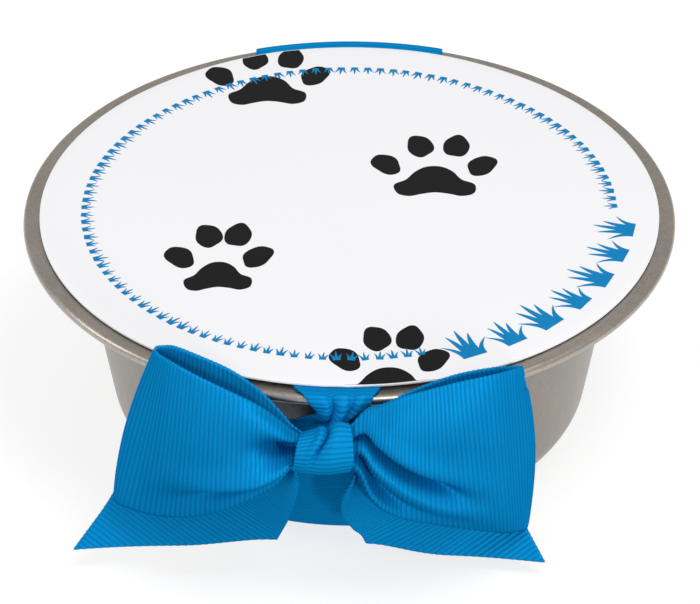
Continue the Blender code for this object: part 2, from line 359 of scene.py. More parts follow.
def satin_steel(look):
    """Drawn steel with a fine bead-blasted grain and soft cloudy handling marks; below the flange its wall is
    darkened with painted shade.
    """
    made, graph, shader = new_finish("satin_steel", {"Metallic": 1.0, "Specular IOR Level": 0.5})
    place = graph.object_place()
    grain = graph.noise(place, scale=1500.0, detail=3.0, roughness=0.7)
    clouds = graph.noise(place, scale=38.0, detail=3.0, roughness=0.55)
    drawn = graph.noise(graph.stretched(place, (1.0, 1.0, 0.16)), scale=420.0, detail=2.0, roughness=0.5)
    shade = (clouds * 0.3 + grain * 0.55 + drawn * 0.15).kept()
    colour = graph.add("ShaderNodeValToRGB", {"stops": (
        (0.38, rgba(look.colour, 0.84)), (0.5, rgba(look.colour)), (0.62, rgba(look.colour, 1.14)))},
        {"Fac": shade})
    # Painted shade: below the flange the wall's colour is mixed toward black
    height = graph.add("ShaderNodeSeparateXYZ", {}, {"Vector": place}, 2)
    under = ((WALL_TOP_HEIGHT - height) / WALL_SHADE_FADE).kept()
    colour = graph.mix(under, colour, graph.mix(look.painted_wall_shade, BLACK, colour))
    wire_up(graph, shader, {
        "Base Color": colour,
        "Roughness": look.roughness + (grain - 0.5) * 0.16 + (clouds - 0.5) * 0.12,
        "Normal": graph.bump(grain * 0.7 + drawn * 0.3, strength=0.16, distance=0.12 * MM),
    })
    return made


def coated_card(look):
    """White coated board: nearly smooth, with a faint fibre under the coating."""
    made, graph, shader = new_finish("white_card", {"Specular IOR Level": 0.4})
    place = graph.object_place()
    fibre = graph.noise(place, scale=900.0, detail=4.0, roughness=0.6)
    clouds = graph.noise(place, scale=22.0, detail=2.0, roughness=0.5)
    colour = graph.mix((clouds * 0.7 + fibre * 0.3).kept(), rgba(look.paper, 0.98), rgba(look.paper))
    wire_up(graph, shader, {
        "Base Color": colour,
        "Roughness": 0.42 + (fibre - 0.5) * 0.12,
        "Normal": graph.bump(fibre, strength=0.05, distance=0.1 * MM),
    })
    return made


def printed_ink(name, colour):
    """Printing ink on card: slightly uneven cover and a soft gloss."""
    made, graph, shader = new_finish(name, {"Specular IOR Level": 0.08})
    place = graph.object_place()
    cover = graph.noise(place, scale=260.0, detail=4.0, roughness=0.6)
    shade = graph.mix(cover, rgba(colour, 0.9), rgba(colour, 1.12))
    wire_up(graph, shader, {
        "Base Color": shade,
        "Roughness": 0.4 + (cover - 0.5) * 0.1,
        "Normal": graph.bump(cover, strength=0.04, distance=0.1 * MM),
    })
    return made


def grosgrain(look):
    """Ribbed ribbon: painted shade between the ribs and a painted highlight on their crests, with fine warp
    threads running over them.
    """
    made, graph, shader = new_finish("woven_grosgrain", {
        "Metallic": 0.26, "Specular IOR Level": 0.0, "Specular Tint": (0.05, 0.6, 0.9, 1.0)})
    ribs = abs((graph.attribute("rib") * pi).sine())
    across = graph.attribute("across")
    uv = graph.add("ShaderNodeUVMap", {"uv_map": "Ribbon"})
    warp = (across * (2 * pi / WARP_PITCH)).sine() * 0.5 + 0.5
    slub = graph.noise(graph.stretched(uv, (900.0, 60.0, 1.0)), scale=1.0, detail=3.0, roughness=0.6)
    clouds = graph.noise(graph.object_place(), scale=55.0, detail=2.0, roughness=0.5)
    # The colour follows the ribs: painted shade in the valleys between them and a painted highlight on their
    # crests, with random slub, warp and cloudy tone on top
    depth = (ribs * 0.55 + 0.3 + (slub - 0.5) * 0.3 + (warp - 0.5) * 0.12 + (clouds - 0.5) * 0.2).kept()
    colour = graph.add("ShaderNodeValToRGB", {"stops": (
        (0.0, rgba(look.colour, 0.5)), (0.45, rgba(look.colour, 0.86)), (0.8, rgba(look.colour, 1.04)),
        (1.0, rgba(look.colour, 1.15)))}, {"Fac": depth})
    wire_up(graph, shader, {
        "Base Color": colour,
        "Roughness": 0.45 + (slub - 0.5) * 0.2,
        "Normal": graph.bump(warp * 0.6 + slub * 0.6, strength=0.25, distance=0.08 * MM),
    })
    return made


def pressed_coir(look):
    """Dry pressed fibre: dark brown pith shot through with paler hairs."""
    made, graph, shader = new_finish("pressed_coir", {"Specular IOR Level": 0.2})
    place = graph.object_place()
    pith = graph.noise(place, scale=420.0, detail=5.0, roughness=0.65)
    hairs = graph.noise(graph.stretched(place, (1.0, 6.0, 3.0)), scale=330.0, detail=2.0, roughness=0.4)
    hair = ((hairs - 0.56) * 14.0).kept()
    soil = graph.mix(pith, rgba(look.coir, 0.5), rgba(look.coir, 1.6))
    colour = graph.mix(hair * 0.6, soil, rgba(look.coir, 3.4))
    wire_up(graph, shader, {
        "Base Color": colour,
        "Roughness": 0.88 + (pith - 0.5) * 0.12,
        "Normal": graph.bump(pith * 0.7 + hairs * 0.4, strength=0.7, distance=0.6 * MM),
    })
    return made


def kraft_paper(look):
    """Brown packet paper with long fibres and soft creases."""
    made, graph, shader = new_finish("kraft_paper", {"Specular IOR Level": 0.25})
    place = graph.object_place()
    fibre = graph.noise(graph.stretched(place, (1.0, 0.25, 1.0)), scale=900.0, detail=4.0, roughness=0.6)
    crease = graph.noise(place, scale=70.0, detail=4.0, roughness=0.7)
    colour = graph.mix((fibre * 0.6 + crease * 0.4).kept(), rgba(look.paper, 0.75), rgba(look.paper, 1.25))
    wire_up(graph, shader, {
        "Base Color": colour,
        "Roughness": 0.78 + (fibre - 0.5) * 0.12,
        "Normal": graph.bump(crease * 0.8 + fibre * 0.2, strength=0.35, distance=0.8 * MM),
    })
    return made


# The bowl

class BowlSettings(bpy.types.PropertyGroup):
    sheet: length_setting("Sheet", "Thickness of the steel", 0.8)
    bead: length_setting("Rolled edge", "Radius of the rolled edge", 1.1)
    wall_top: length_setting("Wall top", "Radius of the wall just under the flange", 58.5)
    base: length_setting("Base", "Radius of the flat base", 41.0)
    corner: length_setting("Corner", "Radius between base and wall", 11.0)
    colour: colour_setting("Colour", "Tint of the steel", (0.41, 0.37, 0.325))
    roughness: share_setting("Roughness", "How satin the steel is", 0.36)
    # The wall's painted shade: how much of the steel's colour is kept below the flange
    painted_wall_shade: share_setting("Painted wall shade", "Brightness of the drawn wall beside the flange", 0.66)


# How many steps a turned piece takes once round
BOWL_TURN = 288
CARD_TURN = 320
DISC_TURN = 160
NECK_FILLET = 1.5
# How far the flat flange lies under the top of the rolled edge
FLANGE_DROP = 0.1
RIM_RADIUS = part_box("steel_bowl")[1].x / MM
BEAD_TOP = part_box("steel_bowl")[1].z / MM
BASE_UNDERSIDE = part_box("steel_bowl")[0].z / MM


def bowl_shape(look):
    """The bowl's corner, neck and rolled edge, each as a centre and a radius."""
    sheet, bead, corner = look.sheet / MM, look.bead / MM, look.corner / MM
    flange = BEAD_TOP - FLANGE_DROP
    return {
        "corner": (look.base / MM, BASE_UNDERSIDE + corner),
        "neck": (look.wall_top / MM + NECK_FILLET, flange - sheet - NECK_FILLET),
        "bead": (RIM_RADIUS - bead, BEAD_TOP - bead),
        "flange": flange,
    }


def bowl_section(look):
    """The bowl's closed section: up the inside, round the rolled edge, and down the outside."""
    shape = bowl_shape(look)
    sheet, bead, corner = look.sheet / MM, look.bead / MM, look.corner / MM
    wall = tangent_angle(shape["corner"], corner, shape["neck"], -NECK_FILLET)
    inside = arc(shape["corner"], corner - sheet, -90, wall, 16)
    inside += arc(shape["neck"], NECK_FILLET + sheet, wall + 180, 90, 12)
    above = degrees(asin((shape["flange"] - shape["bead"][1]) / bead))
    below = degrees(asin((shape["bead"][1] - shape["flange"] + sheet) / bead))
    rolled = arc(shape["bead"], bead, 180 - above, below - 180, 28)
    outside = arc(shape["neck"], NECK_FILLET, 90, wall + 180, 10)
    outside += arc(shape["corner"], corner, wall, -90, 18)
    return [(0.0, BASE_UNDERSIDE + sheet)] + inside + rolled + outside + [(0.0, BASE_UNDERSIDE)]


def turned(name, section, steps):
    """A closed section turned about the Z axis, with one point at each pole."""
    section = np.asarray(section, float)
    angle = np.linspace(0.0, 2 * pi, steps, endpoint=False)
    points = np.stack([section[:, 0, None] * np.cos(angle), section[:, 0, None] * np.sin(angle),
                       np.repeat(section[:, 1, None], steps, axis=1)], axis=-1)
    rows = len(section) - 1
    here = np.arange(rows)[:, None] * steps + np.arange(steps)[None, :]
    turn = np.arange(rows)[:, None] * steps + (np.arange(steps)[None, :] + 1) % steps
    quads = np.stack([here, turn, turn + steps, here + steps], axis=-1).reshape(-1, 4)
    mesh = mesh_from(name, points.reshape(-1, 3), quads)
    tidy(mesh)
    mesh.shade_smooth()
    return new_object(name, mesh)


class GRASSKIT_OT_bowl(bpy.types.Operator):
    """Turn the steel bowl with its flat flange and rolled edge"""
    bl_idname = "grasskit.bowl"
    bl_label = "Steel bowl"

    def execute(self, context):
        look = context.scene.grasskit_bowl
        bowl = turned("steel_bowl_turned", bowl_section(look), BOWL_TURN)
        finished(bowl, satin_steel(look), "steel_bowl")
        return {"FINISHED"}


# The card lid and its print

class CardSettings(bpy.types.PropertyGroup):
    paper: colour_setting("Paper", "Colour of the board", (0.865, 0.865, 0.88))
    black: colour_setting("Black ink", "Colour of the paw prints", (0.008, 0.007, 0.008))
    blue: colour_setting("Blue ink", "Colour of the grass marks", (0.0, 0.2, 0.46))
    ink: length_setting("Ink", "Height of the ink above the board", 0.04)
    ring_radius: length_setting("Ring radius", "Radius of the ring of small sprouts", 57.6)
    ring_count: IntProperty(name="Ring count", description="Number of small sprouts in the ring",
                            default=98, min=2)
    tuft_radius: length_setting("Tuft radius", "Radius of the row of grass tufts", 61.4)
    tuft_count: IntProperty(name="Tuft count", description="Number of grass tufts", default=7, min=2)


# How round the card's edge is, how far in from it a paw print ends, and how deep the ink stands in the board
CARD_EDGE = 0.12
PRINT_MARGIN = 0.3
PRINT_INTO_CARD = 0.02
CARD_RINGS = 30
# The card lies on the band along its middle and sags to the flange on both sides: how far, and between which
# distances from the middle
CARD_SAG = 0.36
SAG_FROM = 14.0
SAG_OVER = 26.0
SAG_STEP = 2.0

# Paw prints: their middle, how far the toes spread across and up, and the pad's width, height and place
# below the middle
Paw = namedtuple("Paw", "x y spread rise width height drop")
PAWS = (
    Paw(-18.3, 47.2, 1.02, 0.95, 0.92, 1.06, 0.5),
    Paw(18.5, 9.6, 1.0, 1.0, 0.94, 1.06, 0.4),
    Paw(-27.6, -27.0, 0.79, 1.08, 0.76, 0.95, 0.4),
    Paw(8.2, -64.6, 0.86, 1.0, 0.98, 1.15, 3.2),
)
# A toe: its place from the pad's middle, its half width and half length, and its tilt in degrees
TOES = ((-10.5, 7.4, 2.9, 4.3, 25.0), (-3.0, 14.8, 2.9, 4.4, 6.0), (5.0, 15.0, 2.9, 4.4, -6.0),
        (10.4, 7.2, 2.9, 4.3, -27.0))
# The pad's outline from its lower left round to the top and back, on a smooth closed curve
PAD = ((-8.6, -3.6), (-9.4, -0.4), (-6.6, 1.6), (-4.6, 4.4), (-2.0, 6.4), (1.4, 6.6), (4.2, 4.8), (6.2, 1.8),
       (9.2, 0.0), (9.0, -3.2), (6.2, -4.4), (3.0, -3.6), (-0.2, -3.2), (-3.4, -3.9), (-6.0, -4.6))
PAD_POINTS = 90
TOE_POINTS = 40
# How far apart the toes are in the wave of their uneven edges
TOE_WOBBLE = 1.7


def sagged(item):
    """Bends a flat piece of the card down beside the band, cut fine enough to follow the bend."""
    work = bmesh.new()
    work.from_mesh(item.data)
    for step in range(int(SAG_OVER / SAG_STEP) + 1):
        for side in (1, -1):
            place = Vector((side * (SAG_FROM + step * SAG_STEP) * MM, 0.0, 0.0))
            bmesh.ops.bisect_plane(work, geom=[*work.verts, *work.edges, *work.faces], plane_co=place,
                                   plane_no=(1.0, 0.0, 0.0))
    work.to_mesh(item.data)
    work.free()
    for vertex in item.data.vertices:
        beside = abs(vertex.co.x) / MM - SAG_FROM
        vertex.co.z -= CARD_SAG * MM * float(ease(beside / SAG_OVER))
    return item


def closed_spline(points, steps):
    """A smooth closed outline through points."""
    ring = [points[-1], *points, points[0], points[1]]
    places = np.linspace(1.0, len(points) + 1.0, steps, endpoint=False)
    return spline(ring, places)


def toe_outline(x, y, half_width, half_length, tilt, wobble):
    """An oval toe with the slightly uneven edge of a cut stencil."""
    angle = np.linspace(0.0, 2 * pi, TOE_POINTS, endpoint=False)
    swell = 1 + 0.05 * np.sin(3 * angle + wobble) + 0.03 * np.sin(5 * angle + 2 * wobble)
    oval = np.stack([half_width * np.cos(angle), half_length * np.sin(angle)], axis=1) * swell[:, None]
    lean = radians(tilt)
    return oval @ np.array(((cos(lean), sin(lean)), (-sin(lean), cos(lean)))) + (x, y)


def paw_outlines(paw):
    outlines = [closed_spline(PAD, PAD_POINTS) * (paw.width, paw.height) - (0.0, paw.drop)]
    for i, (x, y, half_width, half_length, tilt) in enumerate(TOES):
        outlines.append(toe_outline(x * paw.spread, y * paw.rise, half_width, half_length, tilt,
                                    TOE_WOBBLE * i))
    return [outline + (paw.x, paw.y) for outline in outlines]


def kept_on_card(outline, radius):
    """Pulls the points beyond the card's edge in to it."""
    reach = np.hypot(outline[:, 0], outline[:, 1])
    return outline * np.minimum(1.0, radius / reach)[:, None]


def printed_slab(name, outlines, bottom, top, step=0.0):
    """Flat shapes of ink, a hair thick, that stand in the card's surface, each a step above the last."""
    work = bmesh.new()
    for layer, outline in enumerate(outlines):
        low, high = (bottom - layer * step) * MM, (top + layer * step) * MM
        lower = [work.verts.new((x * MM, y * MM, low)) for x, y in outline]
        upper = [work.verts.new((x * MM, y * MM, high)) for x, y in outline]
        work.faces.new(upper)
        work.faces.new(lower[::-1])
        for i in range(len(outline)):
            j = (i + 1) % len(outline)
            work.faces.new((lower[i], lower[j], upper[j], upper[i]))
    bmesh.ops.remove_doubles(work, verts=work.verts, dist=2 * MERGE_DISTANCE)
    bmesh.ops.recalc_face_normals(work, faces=work.faces)
    mesh = bpy.data.meshes.new(name)
    work.to_mesh(mesh)
    work.free()
    return new_object(name, mesh)


def blade_outline(root, lean, height, width):
    """One grass blade: broad at the root, bending over and tapering to a point."""
    up = np.linspace(0.0, 1.0, 12)
    middle = np.stack([root + lean * up ** 2.0, height * up * (1 - 0.12 * abs(lean) / height * up)], axis=1)
    half = width / 2 * (1 - up ** 1.7) ** 0.8
    left = middle - np.stack([half, np.zeros_like(half)], axis=1)
    right = middle + np.stack([half, np.zeros_like(half)], axis=1)
    return np.concatenate([right, left[-2::-1]])


def ring_tree():
    """Geometry Nodes: sprigs along an arc, their tips toward the middle."""
    graph, given = new_geometry_tree("Sprigs on an arc", (
        ("Sprig", "NodeSocketObject", None), ("Ink", "NodeSocketMaterial", None),
        ("Radius", "NodeSocketFloat", 0.0576), ("Start", "NodeSocketFloat", 0.0),
        ("Sweep", "NodeSocketFloat", 5.0), ("Count", "NodeSocketInt", 90),
        ("Tilt", "NodeSocketFloat", 0.2), ("Size change", "NodeSocketFloat", 0.12),
        ("Seed", "NodeSocketInt", 7)))
    index = graph.add("GeometryNodeInputIndex")
    turn = given["Start"] + given["Sweep"] * index / (given["Count"] - 1)
    place = graph.add("ShaderNodeCombineXYZ", {}, {
        "X": given["Radius"] * turn.cosine(), "Y": given["Radius"] * turn.sine()})
    places = graph.add("GeometryNodePoints", {}, {"Count": given["Count"], "Position": place})
    tilt = graph.add("FunctionNodeRandomValue", {"data_type": "FLOAT"}, {
        2: given["Tilt"] * -1, 3: given["Tilt"], "ID": index, "Seed": given["Seed"]}, 1)
    size = graph.add("FunctionNodeRandomValue", {"data_type": "FLOAT"}, {
        2: 1 - given["Size change"], 3: given["Size change"] + 1, "ID": index, "Seed": given["Seed"] + 1}, 1)
    shape = graph.add("GeometryNodeObjectInfo", {}, {"Object": given["Sprig"]}, "Geometry")
    spin = graph.add("ShaderNodeCombineXYZ", {}, {"Z": turn + pi / 2 + tilt})
    stretch = graph.add("ShaderNodeCombineXYZ", {}, {"X": size, "Y": size, "Z": 1.0})
    placed = graph.add("GeometryNodeInstanceOnPoints", {}, {
        "Points": places, "Instance": shape, "Rotation": spin, "Scale": stretch})
    close_geometry_tree(graph, placed, given["Ink"])
    return graph.tree


def ring_of_sprigs(name, tree, source, ink, values):
    """Runs the arc tree and keeps its result as a plain mesh."""
    item = new_object(name, bpy.data.meshes.new(name))
    modifier = item.modifiers.new("Sprigs", "NODES")
    modifier.node_group = tree
    set_inputs(modifier, {"Sprig": source, "Ink": ink, **values})
    plain(item)
    bpy.data.objects.remove(source)
    return item


# Blades of a small sprout and of a large tuft: root, lean, height and width
SPROUT = ((-0.44, -0.8, 2.3, 0.62), (0.0, 0.1, 3.0, 0.64), (0.44, 0.75, 2.1, 0.62))
TUFT = ((-2.0, -2.9, 5.8, 1.4), (-1.1, -1.2, 8.4, 1.6), (-0.1, 0.5, 9.6, 1.7), (0.95, 1.5, 7.8, 1.6),
        (1.9, 3.0, 5.2, 1.4))
# How much higher each blade of a sprig is printed than the one before, so that no two faces share a plane
BLADE_STEP = 0.006
# How high the sprigs' ink is beside the ink of the paw prints, so that it shows on top of them
SPRIG_INK = 1.5
SPRIG_SIZE_CHANGE = 0.1
# An arc of sprigs: where it starts, how far it sweeps and how far a sprig may tilt, in degrees, and its seed
SprigArc = namedtuple("SprigArc", "start sweep tilt seed")
SPROUT_ARC = SprigArc(1.0, 284.0, 9.0, 7)
TUFT_ARC = SprigArc(-65.0, 57.0, 5.0, 3)


class GRASSKIT_OT_card(bpy.types.Operator):
    """Cut the card lid and print the paw prints and the grass marks on it"""
    bl_idname = "grasskit.card"
    bl_label = "Printed card lid"

    def execute(self, context):
        look = context.scene.grasskit_card
        low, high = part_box("card_lid")
        radius, bottom, top = high.x / MM, low.z / MM, high.z / MM
        edge = CARD_EDGE
        rings = [(radius - edge) * i / CARD_RINGS for i in range(CARD_RINGS)]
        section = [(r, bottom) for r in rings] + arc((radius - edge, bottom + edge), edge, -90, 0, 4)
        section += arc((radius - edge, top - edge), edge, 0, 90, 4) + [(r, top) for r in rings[::-1]]
        card = turned("card_lid_board", section, CARD_TURN)
        finished(sagged(card), coated_card(look), "card_lid")

        black = printed_ink("black_ink", look.black)
        blue = printed_ink("blue_ink", look.blue)
        ink = look.ink / MM
        shapes = [kept_on_card(o, radius - PRINT_MARGIN) for paw in PAWS for o in paw_outlines(paw)]
        paws = printed_slab("card_paw_prints", shapes, top - PRINT_INTO_CARD, top + ink)
        finished(sagged(paws), black)

        tree = ring_tree()
        for name, blades, run, arc_radius, count in (
                ("card_sprout_ring", SPROUT, SPROUT_ARC, look.ring_radius, look.ring_count),
                ("card_grass_tufts", TUFT, TUFT_ARC, look.tuft_radius, look.tuft_count)):
            sprig = printed_slab("sprig", [blade_outline(*blade) for blade in blades],
                                 top - PRINT_INTO_CARD, top + ink * SPRIG_INK, BLADE_STEP)
            ring = ring_of_sprigs(name, tree, sprig, blue, {
                "Radius": arc_radius, "Start": radians(run.start), "Sweep": radians(run.sweep),
                "Count": count, "Tilt": radians(run.tilt), "Size change": SPRIG_SIZE_CHANGE,
                "Seed": run.seed})
            finished(sagged(ring), blue)
        return {"FINISHED"}


class ContentsSettings(bpy.types.PropertyGroup):
    coir: colour_setting("Coir", "Colour of the pressed fibre", (0.12, 0.066, 0.034))
    paper: colour_setting("Packet", "Colour of the seed packet", (0.46, 0.31, 0.18))


DISC_EDGE = 1.2
DISC_RINGS = 40
DISC_EDGE_ROWS = 14
# The fibre that breaks up the disc: how fine it is, and how deep it goes
FIBRE_SCALE = 900.0
FIBRE_DEPTH = 0.5


def coir_disc():
    """A pressed disc, its flat faces and edge broken up by fibre."""
    low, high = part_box("coir_disc")
    radius, bottom, top = high.x / MM, low.z / MM, high.z / MM
    rows = [(radius * i / DISC_RINGS, bottom) for i in range(DISC_RINGS - 1)]
    rows += arc((radius - DISC_EDGE, bottom + DISC_EDGE), DISC_EDGE, -90, 0, 6)
    rows += [(radius, bottom + (top - bottom) * i / DISC_EDGE_ROWS) for i in range(2, DISC_EDGE_ROWS - 1)]
    rows += arc((radius - DISC_EDGE, top - DISC_EDGE), DISC_EDGE, 0, 90, 6)
    rows += [(radius * i / DISC_RINGS, top) for i in range(DISC_RINGS - 2, -1, -1)]
    item = turned("pressed_coir_disc", rows, DISC_TURN)
    for vertex in item.data.vertices:
        rough = noise.fractal(vertex.co * FIBRE_SCALE, 0.8, 2.0, 4) * FIBRE_DEPTH
        inward = Vector((0.0, 0.0, (bottom + top) / 2 * MM)) - vertex.co
        vertex.co += inward.normalized() * abs(rough) * MM
    return item


PACKET_COLUMNS = 60
PACKET_ROWS = 90
# Where the packet's welded ends begin, as a share of its half length, and how high and how far apart their
# crimps are
WELD_FROM = 0.88
CRIMP_HEIGHT = 0.12
CRIMP_PITCH = 1.6
# Half the packet's thickness at its welds, and how far its creases go in and out
WELD_HALF = 0.5
CREASE_DEPTH = 0.9
# How far in from its sides and its welds the packet is full, as shares of its half width and half length
FULL_FROM_SIDE = 0.5
FULL_FROM_WELD = 0.35


def seed_packet():
    """A filled paper packet: welded crimped ends, thin sides and creased faces."""
    low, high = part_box("seed_sachet")
    half_width, half_length = high.x / MM, high.y / MM
    bottom, top = low.z / MM, high.z / MM
    middle, half_height = (bottom + top) / 2, (top - bottom) / 2
    columns, rows = PACKET_COLUMNS, PACKET_ROWS
    points = []
    for side in (1, -1):
        for i in range(rows + 1):
            for j in range(columns + 1):
                u, v = 2 * j / columns - 1, 2 * i / rows - 1
                fill = float(ease((1 - abs(u)) / FULL_FROM_SIDE)
                             * ease((WELD_FROM - abs(v)) / FULL_FROM_WELD))
                x, y = u * half_width, v * half_length
                crimp = CRIMP_HEIGHT * sin(y * 2 * pi / CRIMP_PITCH) if abs(v) > WELD_FROM else 0.0
                crease = noise.fractal(Vector((x, y, side * 9.0)) * 0.09, 0.9, 2.0, 4) * CREASE_DEPTH * fill
                body = WELD_HALF + (half_height - CREASE_DEPTH - WELD_HALF) * fill
                points.append((x, y, middle + side * (body + crease) + crimp))
    size = (rows + 1) * (columns + 1)
    upper = grid_faces(rows, columns, False)
    faces = [list(f) for f in upper] + [list(f + size)[::-1] for f in upper]
    rim = [j for j in range(columns + 1)] + [i * (columns + 1) + columns for i in range(1, rows + 1)]
    rim += [rows * (columns + 1) + j for j in range(columns - 1, -1, -1)]
    rim += [i * (columns + 1) for i in range(rows - 1, 0, -1)]
    faces += [(a, a + size, b + size, b) for a, b in zip(rim, rim[1:] + rim[:1])]
    mesh = mesh_from("seed_packet", points, faces)
    tidy(mesh)
    mesh.shade_smooth()
    return new_object("seed_packet", mesh)


class GRASSKIT_OT_contents(bpy.types.Operator):
    """Make the pressed coir disc and the seed packet that the bowl holds"""
    bl_idname = "grasskit.contents"
    bl_label = "Coir disc and seed packet"

    def execute(self, context):
        look = context.scene.grasskit_contents
        finished(coir_disc(), pressed_coir(look), "coir_disc")
        finished(seed_packet(), kraft_paper(look), "seed_sachet")
        return {"FINISHED"}


# Ribbon

class RibbonSettings(bpy.types.PropertyGroup):
    width: length_setting("Width", "Width of the ribbon", 42.0)
    thickness: length_setting("Thickness", "Thickness between the ribs", 0.36)
    rib_pitch: length_setting("Rib pitch", "Distance from rib to rib", 1.05)
    rib_height: length_setting("Rib height", "How far a rib stands out of each face", 0.12)
    colour: colour_setting("Colour", "Colour of the ribbon", (0.003, 0.24, 0.565))


# One pleat of gathered ribbon: where it lies across the ribbon, how far it stands forward (a valley is
# negative), how broad it is as a share of the width, and how far it stands up. A list has a value for each
# section, and a single number holds for all of them
Pleat = namedtuple("Pleat", "share forward width lift", defaults=(0.0,))
# The share of the width over which a pleat runs out at each edge, on the bow and on the knot
PLEAT_EDGE = 0.06
KNOT_PLEAT_EDGE = 0.08
RIBS_TREE = "Grosgrain ribs"
RIB_ROUNDNESS = 0.75


def ribs_tree():
    """Geometry Nodes: raises the ribs of grosgrain on every face of a ribbon."""
    graph, given = new_geometry_tree(RIBS_TREE, (
        ("Rib height", "NodeSocketFloat", 0.12 * MM), ("Finish", "NodeSocketMaterial", None)))
    rib = graph.add("GeometryNodeInputNamedAttribute", {"data_type": "FLOAT"}, {"Name": "rib"})
    height = abs((rib * pi).sine()) ** RIB_ROUNDNESS * given["Rib height"]
    outward = graph.add("GeometryNodeInputNormal")
    offset = graph.add("ShaderNodeVectorMath", {"operation": "SCALE"}, {0: outward, "Scale": height})
    raised = graph.add("GeometryNodeSetPosition", {}, {"Geometry": given["Geometry"], "Offset": offset})
    close_geometry_tree(graph, raised, given["Finish"])
    return graph.tree


# How finely each ribbon piece is divided: rows for each rib, and columns across its width
ROWS_PER_RIB = 6
BAND_ROWS_PER_RIB = 4
BAND_COLUMNS = 36
KNOT_COLUMNS = 44
LOOP_COLUMNS = 60
TAIL_COLUMNS = 84


def ribbon_finish(look):
    return bpy.data.materials.get("woven_grosgrain") or grosgrain(look)


def ribbon(name, look, surface, columns, closed=False, rows_per_rib=ROWS_PER_RIB, cut=None):
    """A ribbed ribbon on a surface given as surface(along, across), both from 0 to 1; its length and area.

    cut, where given, is the place along the ribbon at which each column ends.
    """
    length, place = even_places(surface)
    length = length * MM
    ribs = round(length / look.rib_pitch)
    rows = ribs * rows_per_rib
    count = rows if closed else rows + 1
    share = np.arange(count) / rows
    along = place(share)[:, None]
    across = np.linspace(0.0, 1.0, columns + 1)[None, :]
    along = np.broadcast_to(along, (count, columns + 1))
    across = np.broadcast_to(across, (count, columns + 1))
    phase = np.broadcast_to(share[:, None] * ribs, along.shape)
    if cut is not None:
        limit = cut(across)
        phase = np.where(along > limit, np.interp(limit, place(share), share * ribs), phase)
        along = np.minimum(along, limit)
    points = surface(along, across).reshape(-1, 3)
    mesh = mesh_from(name, points, grid_faces(rows, columns, closed))
    width = look.width / MM
    layers = {"rib": phase.reshape(-1), "across": (across.reshape(-1) - 0.5) * width}
    for key, values in layers.items():
        layer = mesh.attributes.new(key, "FLOAT", "POINT")
        layer.data.foreach_set("value", values.astype(np.float32))
    corners = np.zeros(len(mesh.loops), dtype=np.int32)
    mesh.loops.foreach_get("vertex_index", corners)
    flat = np.stack([phase.reshape(-1) * look.rib_pitch, across.reshape(-1) * look.width], axis=1)
    uv = mesh.uv_layers.new(name="Ribbon")
    uv.data.foreach_set("uv", flat[corners].astype(np.float32).reshape(-1))
    tidy(mesh)
    mesh.shade_smooth()
    item = new_object(name, mesh)
    wall = item.modifiers.new("Thickness", "SOLIDIFY")
    wall.thickness = look.thickness
    wall.offset = 0.0
    ribbed = item.modifiers.new("Ribs", "NODES")
    ribbed.node_group = bpy.data.node_groups.get(RIBS_TREE) or ribs_tree()
    set_inputs(ribbed, {"Rib height": look.rib_height, "Finish": ribbon_finish(look)})
    plain(item)
    area = look.width * length * min(float(phase.max(axis=0).mean()) / ribs, 1.0)
    return item, length, area


def declared(cloth, look, node, folded=1):
    """Sets a ribbon piece on the frame and works out its area for each of its folded layers, side to side;
    the result is not kept.
    """
    item, length, area = cloth
    finished(item, ribbon_finish(look), node)
    area / folded


def sections_of(kind, *values):
    """Sections of one kind, each from its values."""
    return [kind(*row) for row in values]


def profile(sections, key, at, curve=spline):
    """One value of the sections, on the smooth curve through all of them."""
    return curve([getattr(section, key) for section in sections], at)


def pleated(pleats, at, across, edge=PLEAT_EDGE, curve=spline):
    """How far forward and how far up the pleats move the ribbon."""
    def level(values):
        return curve(values, at) if isinstance(values, tuple) else values

    forward = np.zeros(np.broadcast(at, across).shape)
    lift = np.zeros_like(forward)
    hold = np.clip(np.minimum(across, 1 - across) / edge, 0.0, 1.0)
    for pleat in pleats:
        bell = np.exp(-((across - level(pleat.share)) / level(pleat.width)) ** 2) * hold
        forward = forward + level(pleat.forward) * bell
        lift = lift + level(pleat.lift) * bell
    return forward, lift


# The band round the bowl

# The height of the rolled edge, the radius within which the band lies flat under the base, the angle at which
# it leaves the rolled edge, its gap off the steel, and the radius at which it comes out from under the card
BEAD_HEIGHT = 50.0
BAND_FLAT_RADIUS = 24.0
BAND_WRAP = 115.0
BAND_GAP = 0.12
BAND_EMERGES_AT = 66.8
# The ribbon's thickness with its ribs on both faces
RIBBON_LAYER = 0.6
BASE_STEPS = 6
WALL_STEPS = 16
MOUTH_STEPS = 14

# The band in front, by the distance along it outward from the card's edge: its width, the place of its middle
# along X, and how far it stands out from its path
BandSection = namedtuple("BandSection", "run width centre out")
BAND_FRONT = sections_of(
    BandSection,
    (-44.0, 42.0, 0.0, 0.0),
    (-22.0, 34.0, -0.8, 0.0),
    (-6.0, 20.5, -2.2, 0.0),
    (0.0, 17.4, -2.5, 0.0),
    (2.5, 14.6, -2.2, 0.1),
    (5.0, 11.4, -2.0, 0.6),
    (7.6, 6.8, -3.0, 2.2),
    (9.4, 8.6, -4.6, 0.7),
    (13.0, 14.0, -6.8, 0.0),
    (19.5, 16.0, -6.6, 0.0),
    (29.0, 16.0, -3.8, 0.0),
    (38.0, 20.0, -2.6, 0.0),
    (48.0, 32.0, -0.6, 0.0),
    (70.0, 40.0, 0.0, 0.0),
    (92.0, 42.0, 0.0, 0.0),
)
